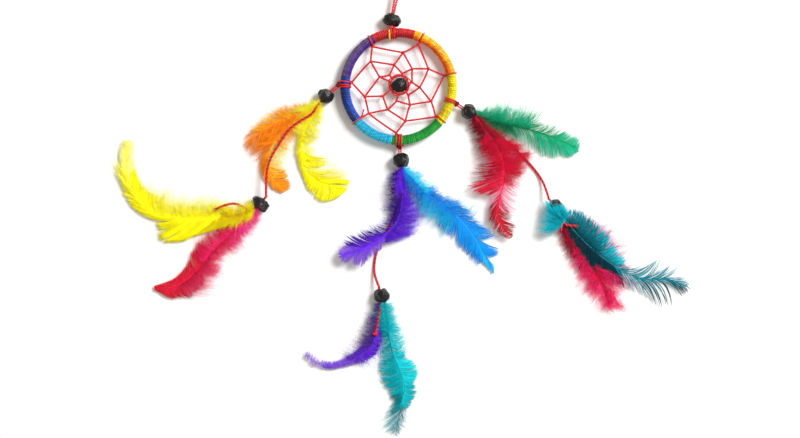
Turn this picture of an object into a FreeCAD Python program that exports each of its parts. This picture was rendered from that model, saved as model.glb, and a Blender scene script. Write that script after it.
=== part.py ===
import FreeCAD, Part

# Dream catcher lying flat: a thread-wrapped hoop with a net, a hanging loop and three feathered pendants.
# +Z is up, +Y points from the hoop towards the hanging loop, and the origin is on the floor under the
# middle of the object. Routes and outlines are written in hoop coordinates: x and y from the hoop's centre,
# z from the floor, all in millimetres.

import math
import os

import Sketcher
from FreeCAD import Placement, Rotation, Vector

DIMENSIONS = {
    "hoop_x": -1.6,
    "hoop_y": 72.0,
    "axis_height": 4.2,
    "hoop_radius": 27.8,
    "core_radius": 1.5,
    "wrap_radius": 2.2,
    "thread_radius": 0.4,
    "thread_knot_radius": 0.62,
    "centre_turn_radius": 4.6,
    "spin_clearance": 0.05,
    "lash_clearance": 0.02,
    "lash_radius": 0.45,
    "lash_pitch": 2.4,
    "lash_knot_radius": 1.0,
    "lash_knot_offset": 1.15,
    "cord_radius": 0.6,
    "loop_cord_radius": 0.45,
    "end_knot_radius": 0.85,
    "hinge_gap": 0.7,
    "bore_radius": 1.75,
    "quill_radius": 0.35,
    "vane_thickness": 0.5,
    "centre_bead_half_length": 4.0,
    "centre_bead_half_width": 3.8,
}

# Thread wrapping: colour, start angle and end angle in degrees, counter-clockwise from +X.
WRAPS = [
    ("red", 74.0, 118.0),
    ("purple", 118.0, 170.0),
    ("blue", 170.0, 219.0),
    ("turquoise", 219.0, 263.5),
    ("green", 263.5, 319.0),
    ("yellow", 319.0, 375.0),
    ("orange", 15.0, 74.0),
]

# The net. Hitches are the angles where the thread goes round the hoop, and each round's points follow.
HITCHES = {"a": 121.4, "b": 64.6, "c": 13.3, "d": -37.8, "e": -92.9, "f": -140.3, "g": 174.9}
NET_POINTS = {
    "a1": (-13.6, 20.6),
    "b1": (10.1, 21.8),
    "c1": (23.6, 5.7),
    "d1": (19.1, -15.7),
    "e1": (-1.2, -24.1),
    "f1": (-15.5, -14.0),
    "g1": (-24.2, 2.0),
    "ab1": (2.3, 17.5),
    "bc1": (15.4, 9.1),
    "cd1": (16.8, -7.8),
    "de1": (3.5, -17.9),
    "fg1": (-17.5, -5.3),
    "ga1": (-14.5, 13.0),
    "a2": (-2.3, 11.1),
    "b2": (7.0, 9.1),
    "c2": (10.9, -0.5),
    "d2": (5.9, -9.5),
    "e2": (-5.7, -12.0),
    "f2": (-8.2, -5.0),
    "g2": (-9.9, 4.9),
    "a3": (1.9, 6.6),
    "b3": (7.0, 2.1),
    "c3": (5.0, -4.4),
    "d3": (-0.9, -7.5),
    "f3": (-4.8, 5.7),
}
NET_ROUNDS = [
    "a1 ab1 b1 bc1 c1 cd1 d1 de1 e1 f1 fg1 g1 ga1 a1",
    "ga1 a2 ab1 b2 bc1 c2 cd1 d2 de1 e2 f1",
    "ga1 g2 fg1 f2 e2",
    "a2 a3 b2 b3 c2 c3 d2 d3 e2",
    "a2 f3 g2",
]
CENTRE = (0.4, 0.8)
CENTRE_SPOKES = {
    "a3": 75.0,
    "b3": 12.0,
    "c3": -48.0,
    "d3": -100.0,
    "f2": 205.0,
    "g2": 160.0,
    "f3": 137.0,
}

# Beads: middle, heading of the bore, half length along the bore, half width across it.
BEADS = {
    "top": ((-3.6, 34.5), 78.0, 3.4, 5.1),
    "left_upper": ((-37.7, -5.0), 228.0, 4.1, 4.5),
    "left_lower": ((-71.6, -60.5), 228.0, 3.2, 5.0),
    "middle_upper": ((1.1, -38.2), -83.0, 4.15, 4.6),
    "middle_lower": ((-8.5, -108.3), -80.0, 3.9, 4.3),
    "right_upper": ((36.4, -13.1), -35.0, 3.9, 4.3),
    "right_lower": ((81.1, -62.3), -50.0, 3.9, 4.2),
}

# Where the cord lies in each bead's bore: offset to the left of the heading, and up from the bore axis.
CORD_IN_BORE = {
    "left_upper": (0.0, 1.0),
    "left_lower": (0.0, 1.0),
    "middle_upper": (0.0, -1.0),
    "middle_lower": (-0.9, 0.0),
    "right_upper": (0.0, -1.0),
    "right_lower": (0.0, 1.0),
}

# Hinge points on the bore axes, as distances from the middle of the bead against its heading.
LASH_HINGE = {"left": 8.0, "middle": 6.0, "right": 6.8}
LASH_KNOT_LIFT = 0.7
EXIT_MARGIN = 2.0
ENTRY_MARGIN = 1.4

# The connecting cords, from the hinge below the upper bead to the hinge above the lower bead.
CONNECTING_ROUTES = {
    "left": [
        (-42.3, -10.1, 5.2),
        (-44.4, -14.4, 5.6),
        (-50.2, -17.4, 5.7),
        (-56.6, -22.1, 5.7),
        (-61.9, -29.9, 5.6),
        (-67.3, -38.9, 5.6),
        (-68.6, -48.3, 5.5),
        (-68.55, -56.4, 5.2),
    ],
    "middle": [
        (1.94, -45.0, 3.2),
        (2.3, -49.0, 0.9),
        (1.6, -56.0, 0.6),
        (-1.8, -66.0, 0.6),
        (-7.2, -76.5, 0.6),
        (-11.6, -85.5, 0.6),
        (-12.9, -93.5, 0.6),
        (-12.2, -98.8, 2.1),
        (-10.6, -102.6, 4.2),
    ],
    "right": [
        (41.8, -16.9, 3.2),
        (45.2, -19.5, 1.0),
        (50.7, -23.8, 0.6),
        (58.3, -30.4, 0.6),
        (66.2, -37.9, 0.6),
        (72.9, -45.8, 0.7),
        (75.9, -51.6, 2.6),
        (77.5, -57.5, 5.2),
    ],
}

# The tails, after the straight stretch through the lower bead's bore, and the index of the knotted point.
TAIL_ROUTES = {
    "left": (
        [
            (-74.3, -63.5, 5.2), (-78.6, -63.6, 5.6), (-83.6, -60.4, 5.7),
            (-89.2, -61.0, 5.6), (-93.9, -63.2, 5.7),
        ],
        -1,
    ),
    "middle": (
        [(-8.62, -112.8, 4.2), (-10.2, -117.5, 4.2), (-11.0, -123.2, 4.25), (-12.0, -127.9, 4.2)],
        -1,
    ),
    "right": (
        [(83.9, -65.6, 5.2), (84.3, -69.6, 5.5), (87.0, -72.3, 5.5), (91.9, -72.2, 5.6)],
        1,
    ),
}

# The hanging loop, from one end at the hoop, through the bead, round the bight and back.
LOOP_ROUTE = [
    (-4.62, 31.94, 4.2),
    (-1.65, 45.9, 4.2),
    (-0.9, 57.0, 3.6),
    (-3.6, 70.0, 1.2),
    (-7.4, 84.0, 0.5),
    (-8.2, 98.0, 0.5),
    (-3.6, 107.6, 0.5),
    (4.6, 112.0, 0.5),
    (12.6, 108.4, 0.5),
    (17.0, 98.6, 0.5),
    (15.2, 84.2, 0.5),
    (9.8, 70.4, 1.2),
    (3.2, 57.6, 3.4),
    (-0.66, 46.4, 4.2),
    (-3.72, 31.75, 4.2),
]
LOOP_HITCH_ANGLE = 96.6

# Feathers: bead; quill offset left and up in the bore; height of the blade; the shaft's points; and the
# blade's width to the left and to the right of each point of the shaft but the last, which is the tip.
FEATHERS = {
    "left_upper_feather_orange_outer": (
        "left_upper", -0.9, -0.15, 4.3,
        [(-42.4, -10.2), (-52.0, -13.4), (-62.0, -18.4), (-70.0, -26.0), (-78.0, -35.0)],
        [0.6, 4.0, 6.0, 6.5],
        [0.6, 3.5, 6.0, 5.5],
    ),
    "left_upper_feather_orange_inner": (
        "left_upper", 0.0, -0.65, 3.5,
        [
            (-42.8, -10.6), (-54.0, -18.0), (-65.0, -28.0),
            (-70.0, -38.0), (-67.0, -47.0), (-58.0, -54.0),
        ],
        [0.35, 4.0, 6.0, 6.5, 3.0],
        [0.35, 3.5, 5.0, 4.0, 3.0],
    ),
    "left_upper_feather_yellow": (
        "left_upper", 0.9, -0.95, 2.85,
        [
            (-42.0, -11.0), (-48.6, -20.0), (-51.0, -30.0), (-50.2, -41.0),
            (-44.6, -50.0), (-35.0, -54.0), (-25.5, -51.0),
        ],
        [0.6, 6.0, 8.0, 8.0, 7.0, 5.0],
        [0.6, 5.0, 5.0, 1.6, 4.5, 6.0],
    ),
    "left_lower_feather_yellow": (
        "left_lower", -0.5, -0.2, 4.3,
        [
            (-76.0, -63.6), (-88.0, -66.4), (-105.0, -68.3), (-122.0, -66.5),
            (-134.0, -60.5), (-140.2, -50.0), (-142.0, -38.0), (-141.5, -27.6),
        ],
        [0.8, 5.0, 10.0, 14.0, 7.0, 4.0, 3.0],
        [0.8, 6.0, 9.0, 10.0, 8.0, 5.0, 3.0],
    ),
    "left_lower_feather_crimson": (
        "left_lower", 0.5, -0.8, 3.2,
        [
            (-75.4, -65.2), (-84.0, -73.0), (-94.0, -83.0),
            (-101.0, -92.0), (-110.0, -101.0), (-126.0, -104.6),
        ],
        [0.8, 5.0, 6.0, 7.0, 7.5],
        [0.8, 2.0, 6.0, 8.5, 6.0],
    ),
    "middle_upper_feather_violet": (
        "middle_upper", -0.5, 1.0, 5.4,
        [
            (1.4, -44.4), (1.8, -54.0), (1.0, -64.0), (-3.6, -73.6),
            (-11.0, -80.0), (-20.0, -84.0), (-30.4, -87.0),
        ],
        [0.8, 5.5, 8.0, 6.0, 5.0, 6.0],
        [0.8, 8.0, 8.0, 6.0, 5.0, 7.0],
    ),
    "middle_upper_feather_azure": (
        "middle_upper", 0.5, 0.35, 4.5,
        [
            (2.8, -44.2), (11.0, -52.0), (20.0, -60.5), (30.0, -68.5),
            (37.5, -76.5), (43.5, -85.0), (49.4, -97.0),
        ],
        [0.8, 5.0, 6.5, 8.0, 7.0, 6.0],
        [0.8, 6.0, 10.0, 10.0, 8.0, 6.0],
    ),
    "middle_lower_feather_violet": (
        "middle_lower", 0.5, -1.1, 3.0,
        [
            (-7.4, -114.4), (-10.8, -122.0), (-14.0, -131.0), (-20.4, -138.0),
            (-30.0, -142.4), (-40.0, -144.0), (-48.0, -139.4),
        ],
        [0.8, 2.5, 5.0, 4.0, 2.5, 2.0],
        [0.8, 6.0, 6.5, 4.0, 2.0, 1.5],
    ),
    "middle_lower_feather_turquoise": (
        "middle_lower", 0.5, 1.1, 5.4,
        [
            (-7.2, -114.2), (-6.4, -124.0), (-4.0, -136.0), (0.0, -146.0),
            (2.6, -156.0), (2.0, -167.0), (-0.6, -180.8),
        ],
        [0.8, 4.5, 7.5, 9.0, 7.0, 4.0],
        [0.8, 4.0, 6.5, 11.5, 10.0, 5.0],
    ),
    "right_upper_feather_green": (
        "right_upper", 0.5, 0.4, 4.6,
        [(42.0, -16.2), (52.0, -18.9), (62.0, -21.3), (73.0, -23.9), (83.0, -28.0), (93.4, -33.2)],
        [0.8, 8.5, 9.5, 9.0, 4.0],
        [0.8, 3.0, 6.0, 11.0, 8.0],
    ),
    "right_upper_feather_crimson": (
        "right_upper", -0.5, 1.0, 5.4,
        [
            (41.0, -17.0), (47.4, -24.0), (53.0, -33.0), (55.0, -44.0),
            (52.4, -56.0), (51.4, -66.0), (57.8, -77.4),
        ],
        [0.8, 7.0, 11.0, 9.0, 8.0, 6.0],
        [0.8, 7.0, 10.0, 12.0, 10.0, 5.0],
    ),
    "right_lower_feather_teal": (
        "right_lower", 0.5, -0.2, 4.3,
        [
            (85.6, -68.2), (93.0, -76.0), (103.4, -86.6), (113.0, -94.0),
            (123.0, -98.4), (136.0, -100.0), (149.4, -103.4),
        ],
        [0.8, 9.0, 11.0, 6.0, 3.0, 5.0],
        [0.8, 7.0, 10.0, 7.0, 6.0, 8.0],
    ),
    "right_lower_feather_pink": (
        "right_lower", -0.5, -0.8, 3.2,
        [(84.0, -67.6), (89.6, -79.0), (97.4, -92.0), (103.4, -104.0), (108.2, -117.0)],
        [0.8, 13.0, 15.0, 9.0],
        [0.8, 5.0, 8.0, 8.0],
    ),
}
QUILL_STUB = {"left_lower": 2.6, "middle_lower": 2.6, "right_lower": 2.0}
QUILL_INSET = 1.0
QUILL_OVERLAP = 0.8

UP = Vector(0, 0, 1)
KNOT_TURN = Rotation(Vector(1.0, 2.0, 0.5), 37.0)


def polar(radius, degrees, height=0.0):
    """The point at a radius and an angle round the hoop's centre."""
    angle = math.radians(degrees)
    return Vector(radius * math.cos(angle), radius * math.sin(angle), height)


def along(degrees):
    """The level direction with a heading in degrees."""
    return polar(1.0, degrees)


def leftwards(degrees):
    """The level direction to the left of a heading."""
    return polar(1.0, degrees + 90.0)


def make_sheet(doc):
    """The spreadsheet of driving dimensions, one alias to a row."""
    sheet = doc.addObject("Spreadsheet::Sheet", "dimensions")
    for row, (alias, value) in enumerate(DIMENSIONS.items(), start=1):
        sheet.set(f"A{row}", alias)
        sheet.set(f"B{row}", str(value))
        sheet.setAlias(f"B{row}", alias)
    doc.recompute()
    return sheet


class Maker:
    """Makes the document's objects, with their sizes bound to the sheet."""

    def __init__(self):
        self.doc = FreeCAD.newDocument("dream_catcher")
        self.sheet = make_sheet(self.doc)
        self.on_floor = Placement(Vector(self.size("hoop_x"), self.size("hoop_y"), 0), Rotation())
        self.subparts = []

    def size(self, alias):
        """A driving dimension's value."""
        return float(getattr(self.sheet, alias))

    def keep(self, thing, name):
        """Lists an object as a sub-part under its node's name."""
        thing.Label = name
        self.subparts.append(thing)
        return thing

    def primitive(self, kind, name, placement, **sizes):
        """A Part primitive whose sizes are expressions of the sheet's cells."""
        thing = self.doc.addObject(f"Part::{kind}", name)
        thing.Placement = placement
        for prop, expression in sizes.items():
            thing.setExpression(prop, expression)
        return thing

    def stretch(self, name, start, end, radius):
        """A straight round bar between two points."""
        run = end - start
        bar = self.primitive("Cylinder", name, Placement(start, Rotation(UP, run)), Radius=radius)
        bar.Height = run.Length
        return bar

    def loop(self, name, angle, radius):
        """One turn of thread or cord round the wrapped hoop."""
        middle = polar(self.size("hoop_radius"), angle, self.size("axis_height"))
        place = Placement(middle, Rotation(UP, leftwards(angle)))
        around = f"dimensions.wrap_radius + dimensions.lash_clearance + dimensions.{radius}"
        return self.primitive("Torus", name, place, Radius1=around, Radius2=f"dimensions.{radius}")

    def knot(self, name, middle, radius):
        """A round knot, turned so that its seam lies away from the threads that meet in it."""
        return self.primitive("Sphere", name, Placement(middle, KNOT_TURN), Radius=f"dimensions.{radius}")

    def fused(self, name, shapes):
        """Joins several shapes into one node."""
        fuse = self.doc.addObject("Part::MultiFuse", name)
        fuse.Shapes = shapes
        fuse.Placement = self.on_floor
        return self.keep(fuse, name)

    def cut(self, name, base, tool):
        """Takes one shape away from another."""
        cut = self.doc.addObject("Part::Cut", name)
        cut.Base = base
        cut.Tool = tool
        cut.Placement = self.on_floor
        return self.keep(cut, name)


def make_hoop(maker):
    """The stiff ring and the seven coloured lengths of thread wrapped on it."""
    height = Vector(0, 0, maker.size("axis_height"))
    ring_sizes = {"Radius1": "dimensions.hoop_radius", "Radius2": "dimensions.core_radius"}
    skin_sizes = {"Radius1": "dimensions.hoop_radius", "Radius2": "dimensions.wrap_radius"}
    ring = maker.primitive("Torus", "hoop_ring", maker.on_floor * Placement(height, Rotation()), **ring_sizes)
    maker.keep(ring, "hoop_ring")
    for colour, start, end in WRAPS:
        turned = Placement(height, Rotation(UP, start))
        skin = maker.primitive("Torus", f"wrap_{colour}_outside", turned, **skin_sizes)
        skin.Angle3 = end - start
        core = maker.primitive("Torus", f"wrap_{colour}_inside", turned, **ring_sizes)
        maker.cut(f"wrap_{colour}", skin, core)


def make_net(maker):
    """The web thread: hitches on the hoop, three rounds of net, and the turns that hold the centre bead."""
    height = maker.size("axis_height")
    turn_reach = maker.size("wrap_radius") + maker.size("lash_clearance") + maker.size("thread_radius")
    inner = maker.size("hoop_radius") - turn_reach
    points = {key: Vector(x, y, height) for key, (x, y) in NET_POINTS.items()}
    centre = Vector(*CENTRE, height)
    turn_sizes = {"Radius1": "dimensions.centre_turn_radius", "Radius2": "dimensions.thread_radius"}
    pieces = [maker.primitive("Torus", "centre_turn", Placement(centre, Rotation()), **turn_sizes)]
    ends = []
    for key, angle in HITCHES.items():
        pieces.append(maker.loop(f"hitch_{key}", angle, "thread_radius"))
        ends.append((polar(inner, angle, height), points[key + "1"]))
    for course in NET_ROUNDS:
        keys = course.split()
        ends += [(points[a], points[b]) for a, b in zip(keys, keys[1:])]
    turn_radius = maker.size("centre_turn_radius")
    for key, angle in CENTRE_SPOKES.items():
        ends.append((points[key], centre + polar(turn_radius, angle)))
    across = Vector(turn_radius, 0, 0)
    ends.append((centre - across, centre + across))
    for number, (start, end) in enumerate(ends, start=1):
        pieces.append(maker.stretch(f"net_stretch_{number}", start, end, "dimensions.thread_radius"))
    for key, point in points.items():
        pieces.append(maker.knot(f"net_knot_{key}", point, "thread_knot_radius"))
    maker.fused("web_thread", pieces)


def make_centre_bead(maker):
    """The bead in the middle of the net, free to spin on the thread through it."""
    place = Placement(Vector(*CENTRE, maker.size("axis_height")), Rotation(UP, Vector(1, 0, 0)))
    sizes = {
        "Radius1": "dimensions.centre_bead_half_length",
        "Radius2": "dimensions.centre_bead_half_width",
        "Radius3": "dimensions.centre_bead_half_width",
    }
    bore = "dimensions.thread_radius + dimensions.spin_clearance"
    make_bead_shape(maker, "centre_bead", place, maker.size("centre_bead_half_length"), sizes, bore)


def make_bead_shape(maker, name, place, half_length, sizes, bore):
    """An egg-shaped bead with a straight bore. The placement's Z is the bore and its X is up."""
    body = maker.primitive("Ellipsoid", f"{name}_body", place, **sizes)
    body.Angle1 = -90
    depth = 2.0 * half_length
    start = place * Placement(Vector(0, 0, -depth), Rotation())
    hole = maker.primitive("Cylinder", f"{name}_bore", start, Radius=bore)
    hole.Height = 2.0 * depth
    maker.cut(name, body, hole)


def bore_frame(maker, bead):
    """The placement of a bead: Z along its bore, X up and Y level."""
    (x, y), heading, _, _ = BEADS[bead]
    up_first = Rotation(UP, Vector(), along(heading), "ZXY")
    return Placement(Vector(x, y, maker.size("axis_height")), up_first)


def in_bore(maker, bead, distance, left=0.0, up=0.0):
    """A point in hoop coordinates, a distance along a bead's bore from its middle."""
    (x, y), heading, _, _ = BEADS[bead]
    middle = Vector(x, y, maker.size("axis_height") + up)
    return middle + along(heading) * distance + leftwards(heading) * left


def make_beads(maker):
    """The top bead and the six pendant beads."""
    for bead, (_, _, half_length, half_width) in BEADS.items():
        sizes = {
            "Radius1": f"{half_length} mm",
            "Radius2": "dimensions.axis_height",
            "Radius3": f"{half_width} mm",
        }
        place = bore_frame(maker, bead)
        make_bead_shape(maker, f"{bead}_bead", place, half_length, sizes, "dimensions.bore_radius")


def rounded_wire(points, name):
    """Straight runs between the points, joined by tangent arcs, with the arcs' radii printed."""
    edges = []
    radii = []
    start = points[0]
    for before, corner, after in zip(points, points[1:], points[2:]):
        into = corner - before
        out = after - corner
        turn = into.getAngle(out)
        setback = 0.45 * min(into.Length, out.Length)
        radii.append(setback / math.tan(turn / 2.0))
        arc_start = corner - into.normalize() * setback
        arc_end = corner + out.normalize() * setback
        bisector = (arc_start + arc_end) * 0.5 - corner
        reach = radii[-1] / math.cos(turn / 2.0) - radii[-1]
        middle = corner + bisector.normalize() * reach
        edges.append(Part.LineSegment(start, arc_start).toShape())
        edges.append(Part.Arc(arc_start, middle, arc_end).toShape())
        start = arc_end
    edges.append(Part.LineSegment(start, points[-1]).toShape())
    if radii:
        print(name, "radii:", ", ".join(f"{radius:.1f}" for radius in radii))
    return Part.Wire(edges)


def round_tube(points, radius, name):
    """A solid round tube along a route."""
    wire = rounded_wire(points, name)
    direction = points[1] - points[0]
    section = Part.Face(Part.Wire(Part.Circle(points[0], direction, radius).toShape()))
    tube = wire.makePipe(section)
    if tube.ShapeType != "Solid":
        tube = tube.Solids[0]
    wanted = math.pi * radius ** 2 * wire.Length
    print(name, f"length {wire.Length:.1f} mm, volume {tube.Volume:.2f} of {wanted:.2f} mm3")
    return tube


def make_cord(maker, name, points, radius, knot=None):
    """A cord as a plain tube, with a round knot at one point where it is tied."""
    shape = round_tube(points, radius, name)
    if knot is not None:
        ball = Part.makeSphere(maker.size("end_knot_radius"))
        ball.Placement = Placement(points[knot], KNOT_TURN)
        shape = shape.fuse(ball).removeSplitter().Solids[0]
    cord = maker.doc.addObject("Part::Feature", name)
    cord.Shape = shape
    cord.Placement = maker.on_floor
    maker.keep(cord, name)


def make_lashing(maker, side):
    """A pendant's lashing: two turns of cord round the wrapped hoop and the knot outside it."""
    bead = f"{side}_upper"
    hinge = in_bore(maker, bead, -LASH_HINGE[side])
    angle = math.degrees(math.atan2(hinge.y, hinge.x))
    lift = CORD_IN_BORE[bead][1] * LASH_KNOT_LIFT
    outside = maker.size("hoop_radius") + maker.size("wrap_radius") + maker.size("lash_knot_offset")
    turns = [
        maker.loop(f"{side}_lash_turn_{number + 1}", angle + number * maker.size("lash_pitch"), "lash_radius")
        for number in range(2)
    ]
    middle = polar(outside, angle, maker.size("axis_height") + lift)
    knot = maker.knot(f"{side}_lash_knot", middle, "lash_knot_radius")
    maker.fused(f"{side}_lashing", turns + [knot])


def make_pendant_cords(maker, side):
    """A pendant's three stretches of cord, with room between them where it bends."""
    gap = maker.size("hinge_gap")
    radius = maker.size("cord_radius")
    upper = f"{side}_upper"
    left, up = CORD_IN_BORE[upper]
    half_length = BEADS[upper][2]
    start = in_bore(maker, upper, gap - LASH_HINGE[side], left, up)
    end = in_bore(maker, upper, half_length + EXIT_MARGIN - gap, left, up)
    make_cord(maker, f"{side}_upper_cord", [start, end], radius)
    route = [Vector(*point) for point in CONNECTING_ROUTES[side]]
    make_cord(maker, f"{side}_connecting_cord", route, radius)
    lower = f"{side}_lower"
    left, up = CORD_IN_BORE[lower]
    first = in_bore(maker, lower, gap - ENTRY_MARGIN - BEADS[lower][2], left, up)
    points, knot = TAIL_ROUTES[side]
    tail = [first] + [Vector(*point) for point in points]
    make_cord(maker, f"{side}_tail_cord", tail, radius, knot + 1 if knot >= 0 else knot)


def make_hanging_loop(maker):
    """The doubled cord that the dream catcher hangs from, and its two turns round the hoop."""
    half_pitch = maker.size("lash_pitch") / 2.0
    turns = [
        maker.loop("loop_turn_1", LOOP_HITCH_ANGLE - half_pitch, "lash_radius"),
        maker.loop("loop_turn_2", LOOP_HITCH_ANGLE + half_pitch, "lash_radius"),
    ]
    maker.fused("loop_hitch", turns)
    route = [Vector(*point) for point in LOOP_ROUTE]
    make_cord(maker, "hanging_loop", route, maker.size("loop_cord_radius"))


def outline(shaft, left, right):
    """The blade's outline: out along the left edge to the tip and back along the right edge."""
    lefts = []
    rights = []
    for index, (left_width, right_width) in enumerate(zip(left, right)):
        behind = shaft[max(index - 1, 0)]
        ahead = shaft[index + 1]
        direction = (ahead - behind).normalize()
        aside = Vector(-direction.y, direction.x, 0)
        lefts.append(shaft[index] + aside * left_width)
        rights.append(shaft[index] - aside * right_width)
    return lefts + [shaft[-1]] + rights[::-1]


def origin_plane(body, role):
    """One of a body's own origin planes."""
    return next(feature for feature in body.Origin.OriginFeatures if feature.Role == role)


def make_feather(maker, name):
    """A feather as a flat blade with its quill running through the bead."""
    bead, quill_left, quill_up, blade_height, shaft, left, right = FEATHERS[name]
    shaft = [Vector(x, y, 0) for x, y in shaft]
    bottom = blade_height - maker.size("vane_thickness") / 2.0
    body = maker.doc.addObject("PartDesign::Body", name)
    sketch = body.newObject("Sketcher::SketchObject", f"{name}_outline")
    sketch.AttachmentSupport = [(origin_plane(body, "XY_Plane"), "")]
    sketch.MapMode = "FlatFace"
    corners = outline(shaft, left, right)
    for start, end in zip(corners, corners[1:] + corners[:1]):
        sketch.addGeometry(Part.LineSegment(start, end), False)
    count = len(corners)
    for index in range(count):
        sketch.addConstraint(Sketcher.Constraint("Coincident", index, 2, (index + 1) % count, 1))
    pad = body.newObject("PartDesign::Pad", f"{name}_blade")
    pad.Profile = sketch
    pad.setExpression("Length", "dimensions.vane_thickness")
    start_distance = -BEADS[bead][2] - QUILL_STUB.get(bead, -QUILL_INSET)
    start = in_bore(maker, bead, start_distance, quill_left, quill_up)
    heading = BEADS[bead][1]
    reach = (shaft[0] - start).dot(along(heading)) + QUILL_OVERLAP
    quill = body.newObject("PartDesign::AdditiveCylinder", f"{name}_quill")
    quill.setExpression("Radius", "dimensions.quill_radius")
    quill.Height = reach
    quill.Placement = Placement(start - Vector(0, 0, bottom), Rotation(UP, along(heading)))
    body.Placement = maker.on_floor * Placement(Vector(0, 0, bottom), Rotation())
    maker.keep(body, name)


def check_and_write(maker):
    """Stops on any failed object or shape, and writes each sub-part to its STEP file."""
    maker.doc.recompute()
    for thing in maker.doc.Objects:
        faults = {"Invalid", "Error"} & set(thing.State)
        if faults:
            raise RuntimeError(f"{thing.Label} is {', '.join(faults)}")
    os.makedirs("parts", exist_ok=True)
    for thing in maker.subparts:
        shape = thing.Shape
        if shape.isNull() or not shape.isValid() or not shape.Solids:
            raise RuntimeError(f"{thing.Label} has no valid solid")
        print(f"{thing.Label}: {len(shape.Solids)} solid(s), {shape.Volume:.1f} mm3")
    for thing in maker.subparts:
        thing.Shape.exportStep(f"parts/{thing.Label}.step")


def main():
    """Builds the whole dream catcher."""
    maker = Maker()
    make_hoop(maker)
    make_net(maker)
    make_centre_bead(maker)
    make_beads(maker)
    make_hanging_loop(maker)
    for side in ("left", "middle", "right"):
        make_lashing(maker, side)
        make_pendant_cords(maker, side)
    for name in FEATHERS:
        make_feather(maker, name)
    check_and_write(maker)
    return maker


maker = main()
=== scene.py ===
import math
from dataclasses import dataclass, replace

import bpy
import numpy as np
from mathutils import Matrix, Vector


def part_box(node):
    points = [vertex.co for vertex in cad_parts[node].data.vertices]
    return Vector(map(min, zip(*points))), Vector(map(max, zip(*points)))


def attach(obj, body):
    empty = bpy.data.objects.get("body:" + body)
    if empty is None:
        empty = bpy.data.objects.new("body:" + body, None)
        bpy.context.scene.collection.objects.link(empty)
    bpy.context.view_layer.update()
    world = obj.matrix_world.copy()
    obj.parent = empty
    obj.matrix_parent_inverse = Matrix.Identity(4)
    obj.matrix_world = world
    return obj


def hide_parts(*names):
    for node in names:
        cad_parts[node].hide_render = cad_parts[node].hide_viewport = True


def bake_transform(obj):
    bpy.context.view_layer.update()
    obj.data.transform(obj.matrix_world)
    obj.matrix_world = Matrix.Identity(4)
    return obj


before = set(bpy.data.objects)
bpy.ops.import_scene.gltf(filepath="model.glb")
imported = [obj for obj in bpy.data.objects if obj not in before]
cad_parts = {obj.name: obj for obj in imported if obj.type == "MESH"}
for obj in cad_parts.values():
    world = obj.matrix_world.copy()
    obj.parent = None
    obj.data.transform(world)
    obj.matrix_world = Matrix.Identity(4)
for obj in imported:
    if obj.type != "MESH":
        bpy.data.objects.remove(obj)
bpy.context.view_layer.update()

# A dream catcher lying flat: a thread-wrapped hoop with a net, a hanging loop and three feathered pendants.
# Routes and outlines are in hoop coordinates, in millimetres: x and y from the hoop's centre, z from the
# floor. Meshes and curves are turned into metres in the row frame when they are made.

MM = 0.001


# ---------------------------------------------------------------------------------------------------------
# Sizes that come from the frame
# ---------------------------------------------------------------------------------------------------------

ring_low, ring_high = (np.array(corner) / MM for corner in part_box("hoop_ring"))
CORE_RADIUS = (ring_high[2] - ring_low[2]) / 2.0
HOOP_RADIUS = (ring_high[0] - ring_low[0]) / 2.0 - CORE_RADIUS
AXIS = (ring_high[2] + ring_low[2]) / 2.0
HOOP = np.array([(ring_high[0] + ring_low[0]) / 2.0, (ring_high[1] + ring_low[1]) / 2.0, 0.0])
wrap_low, wrap_high = (np.array(corner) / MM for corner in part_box("wrap_orange"))
WRAP_RADIUS = (wrap_high[2] - wrap_low[2]) / 2.0

THREAD_RADIUS = 0.4
CORD_RADIUS = 0.6
LOOP_CORD_RADIUS = 0.45
BORE_RADIUS = 1.75
UP = np.array([0.0, 0.0, 1.0])


def row(point):
    """A point in hoop millimetres as metres in the row frame."""
    return tuple((np.array(point, float) + HOOP) * MM)


def polar(radius, degrees, height=0.0):
    """The point at a radius and an angle round the hoop's centre."""
    angle = math.radians(degrees)
    return np.array([radius * math.cos(angle), radius * math.sin(angle), height])


def heading(degrees):
    """The level direction with a heading in degrees."""
    return polar(1.0, degrees)


# ---------------------------------------------------------------------------------------------------------
# Colours and materials
# ---------------------------------------------------------------------------------------------------------

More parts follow.
